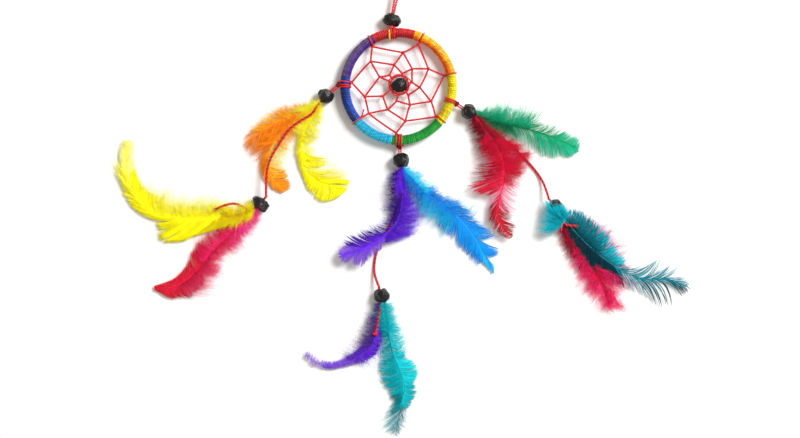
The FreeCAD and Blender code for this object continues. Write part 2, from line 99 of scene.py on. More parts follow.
# Dye shades as they look on the object. Each wrap colour has an outer and an inner shade; the purple's greyer
# outer shade is a painted sheen.
SHADES = {
    "red": "#CC1420",
    "dark_red": "#6E0C16",
    "soft_red": "#D4424E",
    "wrap_red": "#D2161C",
    "wrap_red_inner": "#A80F18",
    # Painted sheen: the purple thread's outer shade is greyer than its inner one.
    "wrap_purple": "#5E4A74",
    "wrap_purple_inner": "#4A2088",
    "wrap_blue": "#16286E",
    "wrap_blue_inner": "#2350B4",
    "wrap_turquoise": "#2CC6E8",
    "wrap_turquoise_inner": "#12A2CE",
    "wrap_green": "#1FA337",
    "wrap_green_inner": "#0E7E2C",
    "wrap_yellow": "#F4E012",
    "wrap_yellow_inner": "#D6B60E",
    "wrap_orange": "#F6B31A",
    "wrap_orange_inner": "#EE5E0C",
    "black": "#141416",
    "orange": "#F59418",
    "deep_orange": "#EC7A10",
    "golden": "#F8C230",
    "gold": "#EAC818",
    "pale_gold": "#FAE35A",
    "light_yellow": "#FAF45A",
    "pale_yellow": "#FBF8A0",
    "yellow": "#F4EC10",
    "warm_yellow": "#F0DE10",
    "crimson": "#D4143C",
    "deep_crimson": "#94102A",
    "scarlet": "#C8162E",
    "hot_pink": "#F8307E",
    "pink": "#F04C7E",
    "pale_pink": "#F49AB4",
    "magenta": "#F63C98",
    "violet": "#5E20CC",
    "bright_violet": "#7634E0",
    "dark_violet": "#421A92",
    "lavender": "#9068D2",
    "pale_lavender": "#B8A2DC",
    "grey_violet": "#6A4E86",
    "azure": "#1290E0",
    "sky": "#30B8EE",
    "deep_blue": "#1A62C4",
    "cyan": "#34D2F2",
    "turquoise": "#08B2BC",
    "bright_turquoise": "#1CCCD2",
    "deep_turquoise": "#0C7E88",
    "green": "#049862",
    "bright_green": "#2CBE98",
    "deep_green": "#06583A",
    "teal": "#078292",
    "bright_teal": "#10C4D4",
    "deep_teal": "#02323E",
}


def linear(name):
    """A shade as linear red, green and blue."""
    code = SHADES[name].lstrip("#")
    values = np.array([int(code[i : i + 2], 16) / 255.0 for i in (0, 2, 4)])
    return np.where(values <= 0.04045, values / 12.92, ((values + 0.055) / 1.055) ** 2.4)


def node_material(name):
    """An empty node material with its shader, ready for links."""
    material = bpy.data.materials.new(name)
    material.use_nodes = True
    nodes = material.node_tree.nodes
    nodes.clear()
    shader = nodes.new("ShaderNodeBsdfPrincipled")
    output = nodes.new("ShaderNodeOutputMaterial")
    material.node_tree.links.new(shader.outputs["BSDF"], output.inputs["Surface"])
    return material, shader


def noise_node(material, scale, detail=4.0, roughness=0.6):
    """Noise in the object's own coordinates, with its scale per millimetre."""
    nodes, links = material.node_tree.nodes, material.node_tree.links
    coordinates = nodes.new("ShaderNodeTexCoord")
    noise = nodes.new("ShaderNodeTexNoise")
    noise.inputs["Scale"].default_value = scale / MM
    noise.inputs["Detail"].default_value = detail
    noise.inputs["Roughness"].default_value = roughness
    links.new(coordinates.outputs["Object"], noise.inputs["Vector"])
    return noise


def spread_of(material, source, low, high):
    """A value between low and high that follows a texture."""
    nodes, links = material.node_tree.nodes, material.node_tree.links
    reach = nodes.new("ShaderNodeMapRange")
    reach.inputs["From Min"].default_value = 0.3
    reach.inputs["From Max"].default_value = 0.7
    reach.inputs["To Min"].default_value = low
    reach.inputs["To Max"].default_value = high
    links.new(source, reach.inputs["Value"])
    return reach.outputs["Result"]


def add_bump(material, shader, source, distance, strength):
    """Relief on the surface from a texture, with its depth in millimetres."""
    nodes, links = material.node_tree.nodes, material.node_tree.links
    bump = nodes.new("ShaderNodeBump")
    bump.inputs["Distance"].default_value = distance * MM
    bump.inputs["Strength"].default_value = strength
    links.new(source, bump.inputs["Height"])
    links.new(bump.outputs["Normal"], shader.inputs["Normal"])


def dyed_material(name, mottle, rough, bump, glow=0.0, scale=1.2, gloss=0.3):
    """A dyed fibre: the colour on each point, which on cords and threads also holds painted light and shade,
    mottled in brightness and hue, with uneven gloss and fine relief.

    The glow stands for the light that scatters through fine fibres."""
    material, shader = node_material(name)
    nodes, links = material.node_tree.nodes, material.node_tree.links
    dye_and_shade = nodes.new("ShaderNodeAttribute")
    dye_and_shade.attribute_name = "dye_and_shade"
    coarse = noise_node(material, scale)
    fine = noise_node(material, scale * 6.0)
    tone = nodes.new("ShaderNodeHueSaturation")
    links.new(dye_and_shade.outputs["Color"], tone.inputs["Color"])
    links.new(spread_of(material, coarse.outputs["Fac"], 1.0 - mottle, 1.0 + mottle), tone.inputs["Value"])
    links.new(spread_of(material, fine.outputs["Fac"], 0.5 - 0.02, 0.5 + 0.02), tone.inputs["Hue"])
    links.new(tone.outputs["Color"], shader.inputs["Base Color"])
    links.new(spread_of(material, fine.outputs["Fac"], *rough), shader.inputs["Roughness"])
    links.new(tone.outputs["Color"], shader.inputs["Emission Color"])
    shader.inputs["Emission Strength"].default_value = glow
    shader.inputs["Specular IOR Level"].default_value = gloss
    add_bump(material, shader, fine.outputs["Fac"], bump, 0.6)
    return material


def bead_material():
    """Black stone-like beads: charcoal mottled with lighter patches, pits and an uneven polish."""
    material, shader = node_material("bead_black")
    nodes, links = material.node_tree.nodes, material.node_tree.links
    coarse = noise_node(material, 0.9, detail=6.0)
    fine = noise_node(material, 5.0, detail=8.0, roughness=0.7)
    ramp = nodes.new("ShaderNodeValToRGB")
    ramp.color_ramp.elements[0].position = 0.35
    ramp.color_ramp.elements[0].color = (0.0016, 0.0015, 0.0017, 1.0)
    ramp.color_ramp.elements[1].position = 0.75
    ramp.color_ramp.elements[1].color = (0.02, 0.0175, 0.0185, 1.0)
    blend = nodes.new("ShaderNodeMix")
    blend.inputs["Factor"].default_value = 0.5
    links.new(coarse.outputs["Fac"], blend.inputs["A"])
    links.new(fine.outputs["Fac"], blend.inputs["B"])
    links.new(blend.outputs["Result"], ramp.inputs["Fac"])
    links.new(ramp.outputs["Color"], shader.inputs["Base Color"])
    links.new(spread_of(material, coarse.outputs["Fac"], 0.14, 0.34), shader.inputs["Roughness"])
    shader.inputs["Specular IOR Level"].default_value = 0.3
    add_bump(material, shader, fine.outputs["Fac"], 0.14, 0.8)
    return material


def core_material():
    """The bare steel ring inside the wrapping."""
    material, shader = node_material("ring_steel")
    fine = noise_node(material, 3.0)
    nodes, links = material.node_tree.nodes, material.node_tree.links
    ramp = nodes.new("ShaderNodeValToRGB")
    ramp.color_ramp.elements[0].color = (0.32, 0.31, 0.30, 1.0)
    ramp.color_ramp.elements[1].color = (0.55, 0.54, 0.52, 1.0)
    links.new(fine.outputs["Fac"], ramp.inputs["Fac"])
    links.new(ramp.outputs["Color"], shader.inputs["Base Color"])
    links.new(spread_of(material, fine.outputs["Fac"], 0.3, 0.5), shader.inputs["Roughness"])
    shader.inputs["Metallic"].default_value = 1.0
    add_bump(material, shader, fine.outputs["Fac"], 0.02, 0.3)
    return material


def floor_material():
    """A plain pale surface with a faint unevenness."""
    material, shader = node_material("floor_pale")
    nodes, links = material.node_tree.nodes, material.node_tree.links
    broad = noise_node(material, 0.01)
    ramp = nodes.new("ShaderNodeValToRGB")
    ramp.color_ramp.elements[0].color = (0.90, 0.89, 0.88, 1.0)
    ramp.color_ramp.elements[1].color = (0.93, 0.925, 0.92, 1.0)
    links.new(broad.outputs["Fac"], ramp.inputs["Fac"])
    links.new(ramp.outputs["Color"], shader.inputs["Base Color"])
    shader.inputs["Roughness"].default_value = 0.9
    shader.inputs["Specular IOR Level"].default_value = 0.1
    return material


MATERIALS = {
    "thread": dyed_material("thread_dyed_and_shaded", 0.2, (0.3, 0.5), 0.05, scale=1.0),
    "cord": dyed_material("cord_dyed_and_shaded", 0.2, (0.45, 0.7), 0.06, scale=0.9),
    "feather": dyed_material("feather_dyed", 0.1, (0.55, 0.8), 0.02, glow=0.14, scale=0.35, gloss=0.12),
    "quill": dyed_material("quill_horn", 0.12, (0.25, 0.45), 0.02, scale=0.6),
    "bead": bead_material(),
    "steel": core_material(),
}


# ---------------------------------------------------------------------------------------------------------
# Mesh building
# ---------------------------------------------------------------------------------------------------------


class Shape:
    """Closed pieces of mesh gathered into one object, in hoop millimetres, with a colour on each point: the
    dyed colour, with painted light and shade on cords and threads.
    """

    def __init__(self):
        self.points = []
        self.quads = []
        self.tris = []
        self.dyes_and_shades = []
        self.count = 0

    def add(self, points, quads, tris, dyes_and_shades):
        """Adds points, faces that number them from 0, and their colours."""
        points = np.asarray(points, float).reshape(-1, 3)
        self.points.append(points)
        self.quads.append(np.asarray(quads, int).reshape(-1, 4) + self.count)
        self.tris.append(np.asarray(tris, int).reshape(-1, 3) + self.count)
        self.dyes_and_shades.append(np.broadcast_to(dyes_and_shades, points.shape))
        self.count += len(points)

    def build(self, name, material, slot):
        """The Blender object, in metres in the row frame."""
        points = (np.concatenate(self.points) + HOOP) * MM
        quads, tris = np.concatenate(self.quads), np.concatenate(self.tris)
        corners = np.concatenate([quads.ravel(), tris.ravel()])
        sizes = np.concatenate([np.full(len(quads), 4), np.full(len(tris), 3)])
        mesh = bpy.data.meshes.new(name)
        mesh.vertices.add(len(points))
        mesh.vertices.foreach_set("co", points.astype(np.float32).ravel())
        mesh.loops.add(len(corners))
        mesh.loops.foreach_set("vertex_index", corners.astype(np.int32))
        mesh.polygons.add(len(sizes))
        starts = np.concatenate([[0], np.cumsum(sizes)[:-1]])
        mesh.polygons.foreach_set("loop_start", starts.astype(np.int32))
        mesh.update(calc_edges=True)
        mesh.shade_smooth()
        dyes_and_shades = np.concatenate(self.dyes_and_shades)
        # The colour attribute: dyed colours, with painted light and shade on cords and threads.
        attribute = mesh.attributes.new("dye_and_shade", "FLOAT_COLOR", "POINT")
        colours = np.column_stack([dyes_and_shades, np.ones(len(dyes_and_shades))])
        attribute.data.foreach_set("color", colours.astype(np.float32).ravel())
        mesh.materials.append(MATERIALS[material])
        thing = bpy.data.objects.new(name, mesh)
        bpy.context.scene.collection.objects.link(thing)
        return thing


def unit(vectors):
    """Vectors scaled to length 1."""
    return vectors / np.maximum(np.linalg.norm(vectors, axis=-1, keepdims=True), 1e-9)


def smooth_line(points, step=0.5):
    """A Catmull-Rom curve through the points, sampled about every step millimetres."""
    points = np.asarray(points, float)
    if len(points) == 2:
        return points
    padded = np.vstack([2 * points[0] - points[1], points, 2 * points[-1] - points[-2]])
    samples = []
    for before, start, end, after in zip(padded, padded[1:], padded[2:], padded[3:]):
        count = max(2, int(np.linalg.norm(end - start) / step))
        t = np.linspace(0.0, 1.0, count, endpoint=False)[:, None]
        samples.append(
            0.5
            * (
                2 * start
                + (end - before) * t
                + (2 * before - 5 * start + 4 * end - after) * t**2
                + (3 * start - before - 3 * end + after) * t**3
            )
        )
    return np.vstack([*samples, points[-1:]])


class Line:
    """A curve through points that can be asked for places along it by share of its length."""

    def __init__(self, points, step=0.5):
        self.samples = smooth_line(points, step)
        gaps = np.linalg.norm(np.diff(self.samples, axis=0), axis=1)
        self.along = np.concatenate([[0.0], np.cumsum(gaps)])
        self.length = self.along[-1]

    def at(self, shares):
        """Points at shares of the length."""
        wanted = np.asarray(shares, float) * self.length
        return np.stack([np.interp(wanted, self.along, self.samples[:, axis]) for axis in range(3)], axis=-1)

    def direction(self, shares):
        """Unit tangents at shares of the length."""
        shares = np.asarray(shares, float)
        return unit(self.at(np.clip(shares + 0.01, 0, 1)) - self.at(np.clip(shares - 0.01, 0, 1)))


def carried_frames(path):
    """Two unit vectors across a path at each of its points, carried along without twist."""
    tangents = unit(np.gradient(path, axis=0))
    normal = np.cross(tangents[0], UP)
    if np.linalg.norm(normal) < 0.1:
        normal = np.cross(tangents[0], np.array([1.0, 0.0, 0.0]))
    normals = []
    for tangent in tangents:
        normal = unit(normal - tangent * np.dot(normal, tangent))
        normals.append(normal)
    normals = np.array(normals)
    return normals, np.cross(tangents, normals)


def tube(shape, path, radius, dye_and_shade, sides=8, blunt=True):
    """A round tube along a path, closed at both ends, with rounded or pointed ends."""
    path = np.asarray(path, float)
    radii = np.broadcast_to(np.asarray(radius, float), (len(path),)).copy()
    first, last = unit(path[0] - path[1]), unit(path[-1] - path[-2])
    if blunt:
        path = np.vstack([path[0] + first * radii[0] * 0.6, path, path[-1] + last * radii[-1] * 0.6])
        radii = np.concatenate([[radii[0] * 0.7], radii, [radii[-1] * 0.7]])
    across, over = carried_frames(path)
    angles = np.linspace(0, 2 * math.pi, sides, endpoint=False)
    outward = np.cos(angles)[:, None] * across[:, None] + np.sin(angles)[:, None] * over[:, None]
    rings = path[:, None] + radii[:, None, None] * outward
    count = len(path)
    grid = np.arange(count * sides).reshape(count, sides)
    ahead = np.roll(grid, -1, axis=1)
    quads = np.stack([grid[:-1], ahead[:-1], ahead[1:], grid[1:]], axis=-1).reshape(-1, 4)
    start_tip, end_tip = count * sides, count * sides + 1
    start_fan = np.stack([ahead[0], grid[0], np.full(sides, start_tip)], axis=-1)
    end_fan = np.stack([grid[-1], ahead[-1], np.full(sides, end_tip)], axis=-1)
    tips = np.array([path[0] + first * radii[0] * 0.5, path[-1] + last * radii[-1] * 0.5])
    points = np.vstack([rings.reshape(-1, 3), tips])
    dyes_and_shades = np.asarray(dye_and_shade, float)
    if dyes_and_shades.ndim == 2:
        if blunt:
            dyes_and_shades = np.vstack([dyes_and_shades[0], dyes_and_shades, dyes_and_shades[-1]])
        dyes_and_shades = np.vstack([np.repeat(dyes_and_shades, sides, axis=0), dyes_and_shades[0], dyes_and_shades[-1]])
    shape.add(points, quads, np.vstack([start_fan, end_fan]), dyes_and_shades)


def strands(shape, paths, half_widths, half_heights, dyes_and_shades):
    """Many thin closed strands at once. Each has the same number of points and ends in a point."""
    number, count, _ = paths.shape
    tangents = unit(np.gradient(paths, axis=1))
    across = unit(np.cross(np.broadcast_to(UP, tangents.shape), tangents))
    over = np.cross(tangents, across)
    ring = np.stack(
        [
            paths + across * half_widths[..., None],
            paths + over * half_heights[..., None] * 1.5,
            paths - across * half_widths[..., None],
        ],
        axis=2,
    )[:, :-1]
    points = np.concatenate([ring.reshape(number, -1, 3), paths[:, -1:]], axis=1)
    size = 3 * (count - 1) + 1
    grid = np.arange(3 * (count - 1)).reshape(count - 1, 3)
    ahead = np.roll(grid, -1, axis=1)
    quads = np.stack([grid[:-1], grid[1:], ahead[1:], ahead[:-1]], axis=-1).reshape(-1, 4)
    tips = np.stack([grid[-1], np.full(3, size - 1), ahead[-1]], axis=-1)
    tris = np.vstack([tips, grid[:1]])
    offsets = (np.arange(number) * size)[:, None, None]
    colours = np.concatenate([np.repeat(dyes_and_shades[:, :-1], 3, axis=1), dyes_and_shades[:, -1:]], axis=1)
    shape.add(points.reshape(-1, 3), (quads + offsets).reshape(-1, 4), (tris + offsets).reshape(-1, 3),
              colours.reshape(-1, 3))


# ---------------------------------------------------------------------------------------------------------
# Camera
# ---------------------------------------------------------------------------------------------------------

VIEW_MIDDLE = (0.7, -68.6)
VIEW_WIDTH = 415.2
CAMERA_HEIGHT = 1300.0
SENSOR_WIDTH = 36.0


def make_camera():
    """A camera straight above, with +Y up in its picture."""
    data = bpy.data.cameras.new("camera")
    data.sensor_width = SENSOR_WIDTH
    data.lens = SENSOR_WIDTH * CAMERA_HEIGHT / VIEW_WIDTH
    data.clip_start = 0.05
    data.clip_end = 20.0
    camera = bpy.data.objects.new("camera", data)
    camera.location = row((*VIEW_MIDDLE, CAMERA_HEIGHT))
    bpy.context.scene.collection.objects.link(camera)
    bpy.context.scene.camera = camera


make_camera()


# ---------------------------------------------------------------------------------------------------------
# Cords
# ---------------------------------------------------------------------------------------------------------

# Routes as in the CAD model, where each cord's tube lies.
LOOP_ROUTE = [
    (-4.62, 31.94, 4.2),
    (-1.65, 45.9, 4.2),
    (-0.9, 57.0, 3.6),
    (-3.6, 70.0, 1.2),
    (-7.4, 84.0, 0.5),
    (-8.2, 98.0, 0.5),
    (-3.6, 107.6, 0.5),
    (4.6, 112.0, 0.5),
    (12.6, 108.4, 0.5),
    (17.0, 98.6, 0.5),
    (15.2, 84.2, 0.5),
    (9.8, 70.4, 1.2),
    (3.2, 57.6, 3.4),
    (-0.66, 46.4, 4.2),
    (-3.72, 31.75, 4.2),
]
CONNECTING_ROUTES = {
    "left": [
        (-42.3, -10.1, 5.2),
        (-44.4, -14.4, 5.6),
        (-50.2, -17.4, 5.7),
        (-56.6, -22.1, 5.7),
        (-61.9, -29.9, 5.6),
        (-67.3, -38.9, 5.6),
        (-68.6, -48.3, 5.5),
        (-68.55, -56.4, 5.2),
    ],
    "middle": [
        (1.94, -45.0, 3.2),
        (2.3, -49.0, 0.9),
        (1.6, -56.0, 0.6),
        (-1.8, -66.0, 0.6),
        (-7.2, -76.5, 0.6),
        (-11.6, -85.5, 0.6),
        (-12.9, -93.5, 0.6),
        (-12.2, -98.8, 2.1),
        (-10.6, -102.6, 4.2),
    ],
    "right": [
        (41.8, -16.9, 3.2),
        (45.2, -19.5, 1.0),
        (50.7, -23.8, 0.6),
        (58.3, -30.4, 0.6),
        (66.2, -37.9, 0.6),
        (72.9, -45.8, 0.7),
        (75.9, -51.6, 2.6),
        (77.5, -57.5, 5.2),
    ],
}
TAIL_ROUTES = {
    "left": [
        (-74.3, -63.5, 5.2),
        (-78.6, -63.6, 5.6),
        (-83.6, -60.4, 5.7),
        (-89.2, -61.0, 5.6),
        (-93.9, -63.2, 5.7),
    ],
    "middle": [(-8.62, -112.8, 4.2), (-10.2, -117.5, 4.2), (-11.0, -123.2, 4.25), (-12.0, -127.9, 4.2)],
    "right": [(83.9, -65.6, 5.2), (84.3, -69.6, 5.5), (87.0, -72.3, 5.5), (91.9, -72.2, 5.6)],
}

# Beads: middle, heading of the bore, half length along the bore, half width across it.
BEADS = {
    "top": ((-3.6, 34.5), 78.0, 3.4, 5.1),
    "left_upper": ((-37.7, -5.0), 228.0, 4.1, 4.5),
    "left_lower": ((-71.6, -60.5), 228.0, 3.2, 5.0),
    "middle_upper": ((1.1, -38.2), -83.0, 4.15, 4.6),
    "middle_lower": ((-8.5, -108.3), -80.0, 3.9, 4.3),
    "right_upper": ((36.4, -13.1), -35.0, 3.9, 4.3),
    "right_lower": ((81.1, -62.3), -50.0, 3.9, 4.2),
}
CORD_IN_BORE = {
    "left_upper": (0.0, 1.0),
    "left_lower": (0.0, 1.0),
    "middle_upper": (0.0, -1.0),
    "middle_lower": (-0.9, 0.0),
    "right_upper": (0.0, -1.0),
    "right_lower": (0.0, 1.0),
}
LASH_HINGE = {"left": 8.0, "middle": 6.0, "right": 6.8}
ENTRY_MARGIN = 1.4


def in_bore(bead, distance, left=0.0, up=0.0):
    """A point a distance along a bead's bore from its middle, offset to the left and up."""
    (x, y), degrees, _, _ = BEADS[bead]
    return np.array([x, y, AXIS + up]) + heading(degrees) * distance + heading(degrees + 90.0) * left


# Twisted cords are drawn a little fuller than their tubes, because two plies fill less of the round.
PLY_SHARE = 0.62
CORD_TWIST_RADIUS = CORD_RADIUS * 1.2
LOOP_TWIST_RADIUS = LOOP_CORD_RADIUS * 1.35
NECK_TWIST_RADIUS = LOOP_CORD_RADIUS * 1.25
CORD_TURN = 2.3
LOOP_TURN = 2.6
# Painted light and shade on twisted cords: of the two plies one is drawn lighter and one darker, as painted
# shade in the grooves between them.
CORD_PAINTED_PLY_SHADING = (1.3, 0.5)
LOOP_FOOT_ANGLE = 97.4


def nurbs_points(name, route):
    """The points of a smooth NURBS curve with a route's points as its control points, in hoop millimetres."""
    data = bpy.data.curves.new(name, "CURVE")
    data.dimensions = "3D"
    spline = data.splines.new("NURBS")
    spline.points.add(len(route) - 1)
    for point, place in zip(spline.points, route):
        point.co = (*row(place), 1.0)
    spline.order_u = 3
    spline.use_endpoint_u = True
    spline.resolution_u = 24
    curve = bpy.data.objects.new(name, data)
    bpy.context.scene.collection.objects.link(curve)
    mesh = bpy.data.meshes.new_from_object(curve)
    points = np.array([vertex.co for vertex in mesh.vertices]) / MM - HOOP
    bpy.data.objects.remove(curve)
    bpy.data.curves.remove(data)
    bpy.data.meshes.remove(mesh)
    return points


def twisted(shape, path, radius, plies, turn, shade, rng, sides=7, lights=(1.2, 0.7), steps=16):
    """A twisted cord along a path: round plies wound about it, one turn every so many millimetres.

    The shade is a name, or a colour for each of some evenly spaced places along the path."""
    line = Line(path, step=0.2)
    count = max(8, int(line.length / (turn / steps)))
    path = line.at(np.linspace(0.0, 1.0, count))
    across, over = carried_frames(path)
    along = np.linspace(0.0, line.length, count)
    wobble = np.cumsum(rng.normal(0.0, 0.05, count))
    ply_radius = radius * PLY_SHARE
    if isinstance(shade, str):
        dye_and_shade = linear(shade)
    else:
        given, wanted = np.linspace(0.0, 1.0, len(shade)), np.linspace(0.0, 1.0, count)
        dye_and_shade = np.stack([np.interp(wanted, given, channel) for channel in shade.T], -1)
    for ply in range(plies):
        angle = 2 * math.pi * (along / turn + ply / plies) + wobble
        outward = np.cos(angle)[:, None] * across + np.sin(angle)[:, None] * over
        middle = path + (radius - ply_radius) * outward
        middle[:, 2] = np.maximum(middle[:, 2], ply_radius + 0.02)
        # Painted light and shade: each ply is made lighter or darker by its place in the pair, and lighter
        # and darker in turn as it winds round the cord.
        light = lights[(ply + 1) % 2] + 0.15 * np.sin(angle * 2.0 + ply) * rng.uniform(0.4, 1.0)
        tube(shape, middle, ply_radius, np.clip(dye_and_shade * light[:, None], 0, 1), sides=sides)


def make_hanging_loop():
    """The doubled hanging cord and the short neck that ties it to the hoop."""
    rng = np.random.default_rng(11)
    path = nurbs_points("loop_route", LOOP_ROUTE)
    shape = Shape()
    twisted(shape, path, LOOP_TWIST_RADIUS, 2, LOOP_TURN, "soft_red", rng)
    loop = shape.build("hanging_loop_cord", "cord", "cord_red")
    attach(loop, "hanging_loop")
    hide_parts("hanging_loop")
    neck = Shape()
    for side, end in ((-1, LOOP_ROUTE[0]), (1, LOOP_ROUTE[-1])):
        foot = polar(HOOP_RADIUS + WRAP_RADIUS - 0.2, LOOP_FOOT_ANGLE - side * 0.8, AXIS + 1.0)
        bow = (foot + np.array(end)) / 2 + [0.1 * side, 0, 0.3]
        twisted(neck, [foot, bow, end], NECK_TWIST_RADIUS, 2, LOOP_TURN, "soft_red", rng)
    neck = neck.build("hanging_loop_neck", "cord", "cord_red")
    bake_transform(neck)


def trefoil(middle, size, tilt):
    """The closed line of an overhand knot."""
    t = np.linspace(0, 2 * math.pi, 60)
    flat = np.stack(
        [np.sin(t) + 2 * np.sin(2 * t), np.cos(t) - 2 * np.cos(2 * t), -1.2 * np.sin(3 * t)], axis=-1
    )
    cos, sin = math.cos(math.radians(tilt)), math.sin(math.radians(tilt))
    turned = flat @ np.array([[cos, sin, 0], [-sin, cos, 0], [0, 0, 1]])
    return np.asarray(middle) + turned * size / 3.0


def frayed_end(shape, point, direction, shade, rng, length=1.6, count=14):
    """Loose fibres at a cut end of cord."""
    bases = np.repeat(np.asarray(point, float)[None], count, axis=0) + rng.normal(0, 0.2, (count, 3))
    ways = unit(np.asarray(direction, float) + rng.normal(0, 0.35, (count, 3)))
    shares = np.linspace(0, 1, 5)
    lengths = length * rng.uniform(0.5, 1.0, count)
    paths = bases[:, None] + ways[:, None] * (lengths[:, None] * shares)[..., None]
    paths[..., 2] = np.maximum(paths[..., 2], 0.2)
    widths = 0.08 * (1 - 0.6 * shares)[None].repeat(count, axis=0)
    dyes_and_shades = np.broadcast_to(linear(shade), paths.shape)
    strands(shape, paths, widths, widths, dyes_and_shades)


def make_pendant_cords(side, seed):
    """A pendant's red cord: above its upper bead, between its beads, and its tail below the lower bead."""
    rng = np.random.default_rng(seed)
    upper, lower = f"{side}_upper", f"{side}_lower"
    left, up = CORD_IN_BORE[upper]
    half_length = BEADS[upper][2]
    lash = np.arctan2(*in_bore(upper, -LASH_HINGE[side])[1::-1])
    start = polar(HOOP_RADIUS + WRAP_RADIUS + 0.3, math.degrees(lash), AXIS + up * 0.7)
    neck = Shape()
    inside = in_bore(upper, 0.0, left, up)
    for offset, turn in ((0.45, 2.2), (-0.45, 2.3)):
        aside = heading(BEADS[upper][1] + 90.0) * offset
        bow = (start + inside) / 2 + aside * 1.2
        twisted(neck, [start + aside, bow, inside + aside], CORD_RADIUS * 0.75, 2, turn, "red", rng)
    neck = neck.build(f"{side}_upper_cord_twisted", "cord", "cord_red")
    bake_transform(neck)
    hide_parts(f"{side}_upper_cord")

    mouth = in_bore(upper, half_length, left, up)
    exit_point = in_bore(upper, half_length - 2.5, left, up)
    path = nurbs_points(f"{side}_connecting_route", [exit_point, mouth, *CONNECTING_ROUTES[side]])
    cord = Shape()
    twisted(cord, path, CORD_TWIST_RADIUS, 2, CORD_TURN, "red", rng, lights=CORD_PAINTED_PLY_SHADING)
    cord = cord.build(f"{side}_connecting_cord_twisted", "cord", "cord_red")
    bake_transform(cord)
    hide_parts(f"{side}_connecting_cord")

    left, up = CORD_IN_BORE[lower]
    entry = in_bore(lower, -BEADS[lower][2] - ENTRY_MARGIN - 0.4, left, up)
    tail_path = nurbs_points(f"{side}_tail_route", [entry, in_bore(lower, 0.0, left, up), *TAIL_ROUTES[side]])
    tail = Shape()
    twisted(tail, tail_path, CORD_TWIST_RADIUS, 2, CORD_TURN, "red", rng, lights=CORD_PAINTED_PLY_SHADING)
    if side == "left":
        frayed_end(tail, tail_path[-1], tail_path[-1] - tail_path[-3], "soft_red", rng, length=2.2, count=26)
    elif side == "middle":
        tube(tail, trefoil(tail_path[-1], 1.1, 20.0), 0.42, linear("red"), sides=8)
    else:
        tube(tail, trefoil(TAIL_ROUTES["right"][1], 1.2, 50.0), 0.45, linear("pink"), sides=8)
        frayed_end(tail, tail_path[-1], tail_path[-1] - tail_path[-3], "red", rng, length=1.4)
        stub = [TAIL_ROUTES["right"][1], (84.4, -72.0, 5.4), (84.0, -74.4, 5.0)]
        twisted(tail, stub, CORD_RADIUS * 0.7, 2, 2.4, "soft_red", rng)
    tail = tail.build(f"{side}_tail_cord_twisted", "cord", "cord_red")
    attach(tail, f"{side}_drop")
    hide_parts(f"{side}_tail_cord")


make_hanging_loop()
for number, side in enumerate(("left", "middle", "right")):
    make_pendant_cords(side, 20 + number)


# ---------------------------------------------------------------------------------------------------------
# Hoop: wrapping, lashings and hitches
# ---------------------------------------------------------------------------------------------------------

WRAPS = [
    ("red", 74.0, 118.0),
    ("purple", 118.0, 170.0),
    ("blue", 170.0, 219.0),
    ("turquoise", 219.0, 263.5),
    ("green", 263.5, 319.0),
    ("yellow", 319.0, 375.0),
    ("orange", 15.0, 74.0),
]
WRAP_THREAD = 0.5
WRAP_PITCH = 0.92
WRAP_OUTSIDE = WRAP_RADIUS + 0.4
WRAP_TURN = 1.7
# Painted light and shade on the two plies of the wrapping thread: both are brightened, one more than the
# other.
WRAP_PAINTED_PLY_SHADING = (1.42, 1.04)
WRAP_STEPS = 20
CORE_SHARE = 0.86           # of the thread's radius, in the tube that closes the gaps between its plies
# Painted shade: the core tube is drawn darker than the thread, for the shade in the gaps between its plies.
CORE_PAINTED_SHADE = 0.85
COIL_STEPS = 28


def around_hoop(angles, turns, radius):
    """Points at angles round the hoop and turns round its rim, at a distance from the rim's axis."""
    hoop_angle = np.radians(angles)
    rim_angle = 2 * math.pi * np.asarray(turns)
    reach = HOOP_RADIUS + radius * np.cos(rim_angle)
    height = AXIS + radius * np.sin(rim_angle)
    return np.stack([reach * np.cos(hoop_angle), reach * np.sin(hoop_angle), height], -1)


def make_wrap(colour, start, end, seed):
    """One colour's thread, wound closely round the rim."""
    rng = np.random.default_rng(seed)
    arc = math.radians(end - start) * HOOP_RADIUS
    turn_count = int(arc / WRAP_PITCH)
    turns = np.arange(turn_count * WRAP_STEPS + 1) / WRAP_STEPS
    places = start + (end - start) * turns / turn_count
    uneven = np.interp(turns, np.arange(turn_count + 2), rng.normal(0.0, 0.05, turn_count + 2))
    places = places + np.degrees(uneven * 0.5 / HOOP_RADIUS)
    path = around_hoop(places, turns, WRAP_OUTSIDE - WRAP_THREAD + uneven)
    # The outer and inner sides of each turn take the colour's outer and inner shades; for the purple, the
    # greyer outer shade is a painted sheen.
    outward = (np.cos(2 * math.pi * turns) + 1.0) / 2.0
    outward = np.clip((outward - 0.25) * 2.2, 0, 1)[:, None]
    shade = linear(f"wrap_{colour}") * outward + linear(f"wrap_{colour}_inner") * (1 - outward)
    light = rng.uniform(0.66, 1.2, turn_count + 1)[turns.astype(int)]
    shade = np.clip(shade * light[:, None], 0, 1)
    shape = Shape()
    # A darker core under the plies: painted shade in the gaps between them.
    tube(shape, path, WRAP_THREAD * CORE_SHARE, shade * CORE_PAINTED_SHADE, sides=6)
    twisted(shape, path, WRAP_THREAD, 2, WRAP_TURN, shade, rng, sides=5, lights=WRAP_PAINTED_PLY_SHADING, steps=8)
    piece = shape.build(f"wrap_{colour}_thread", "thread", f"wrap_{colour}")
    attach(piece, "hoop")
    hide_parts(f"wrap_{colour}")


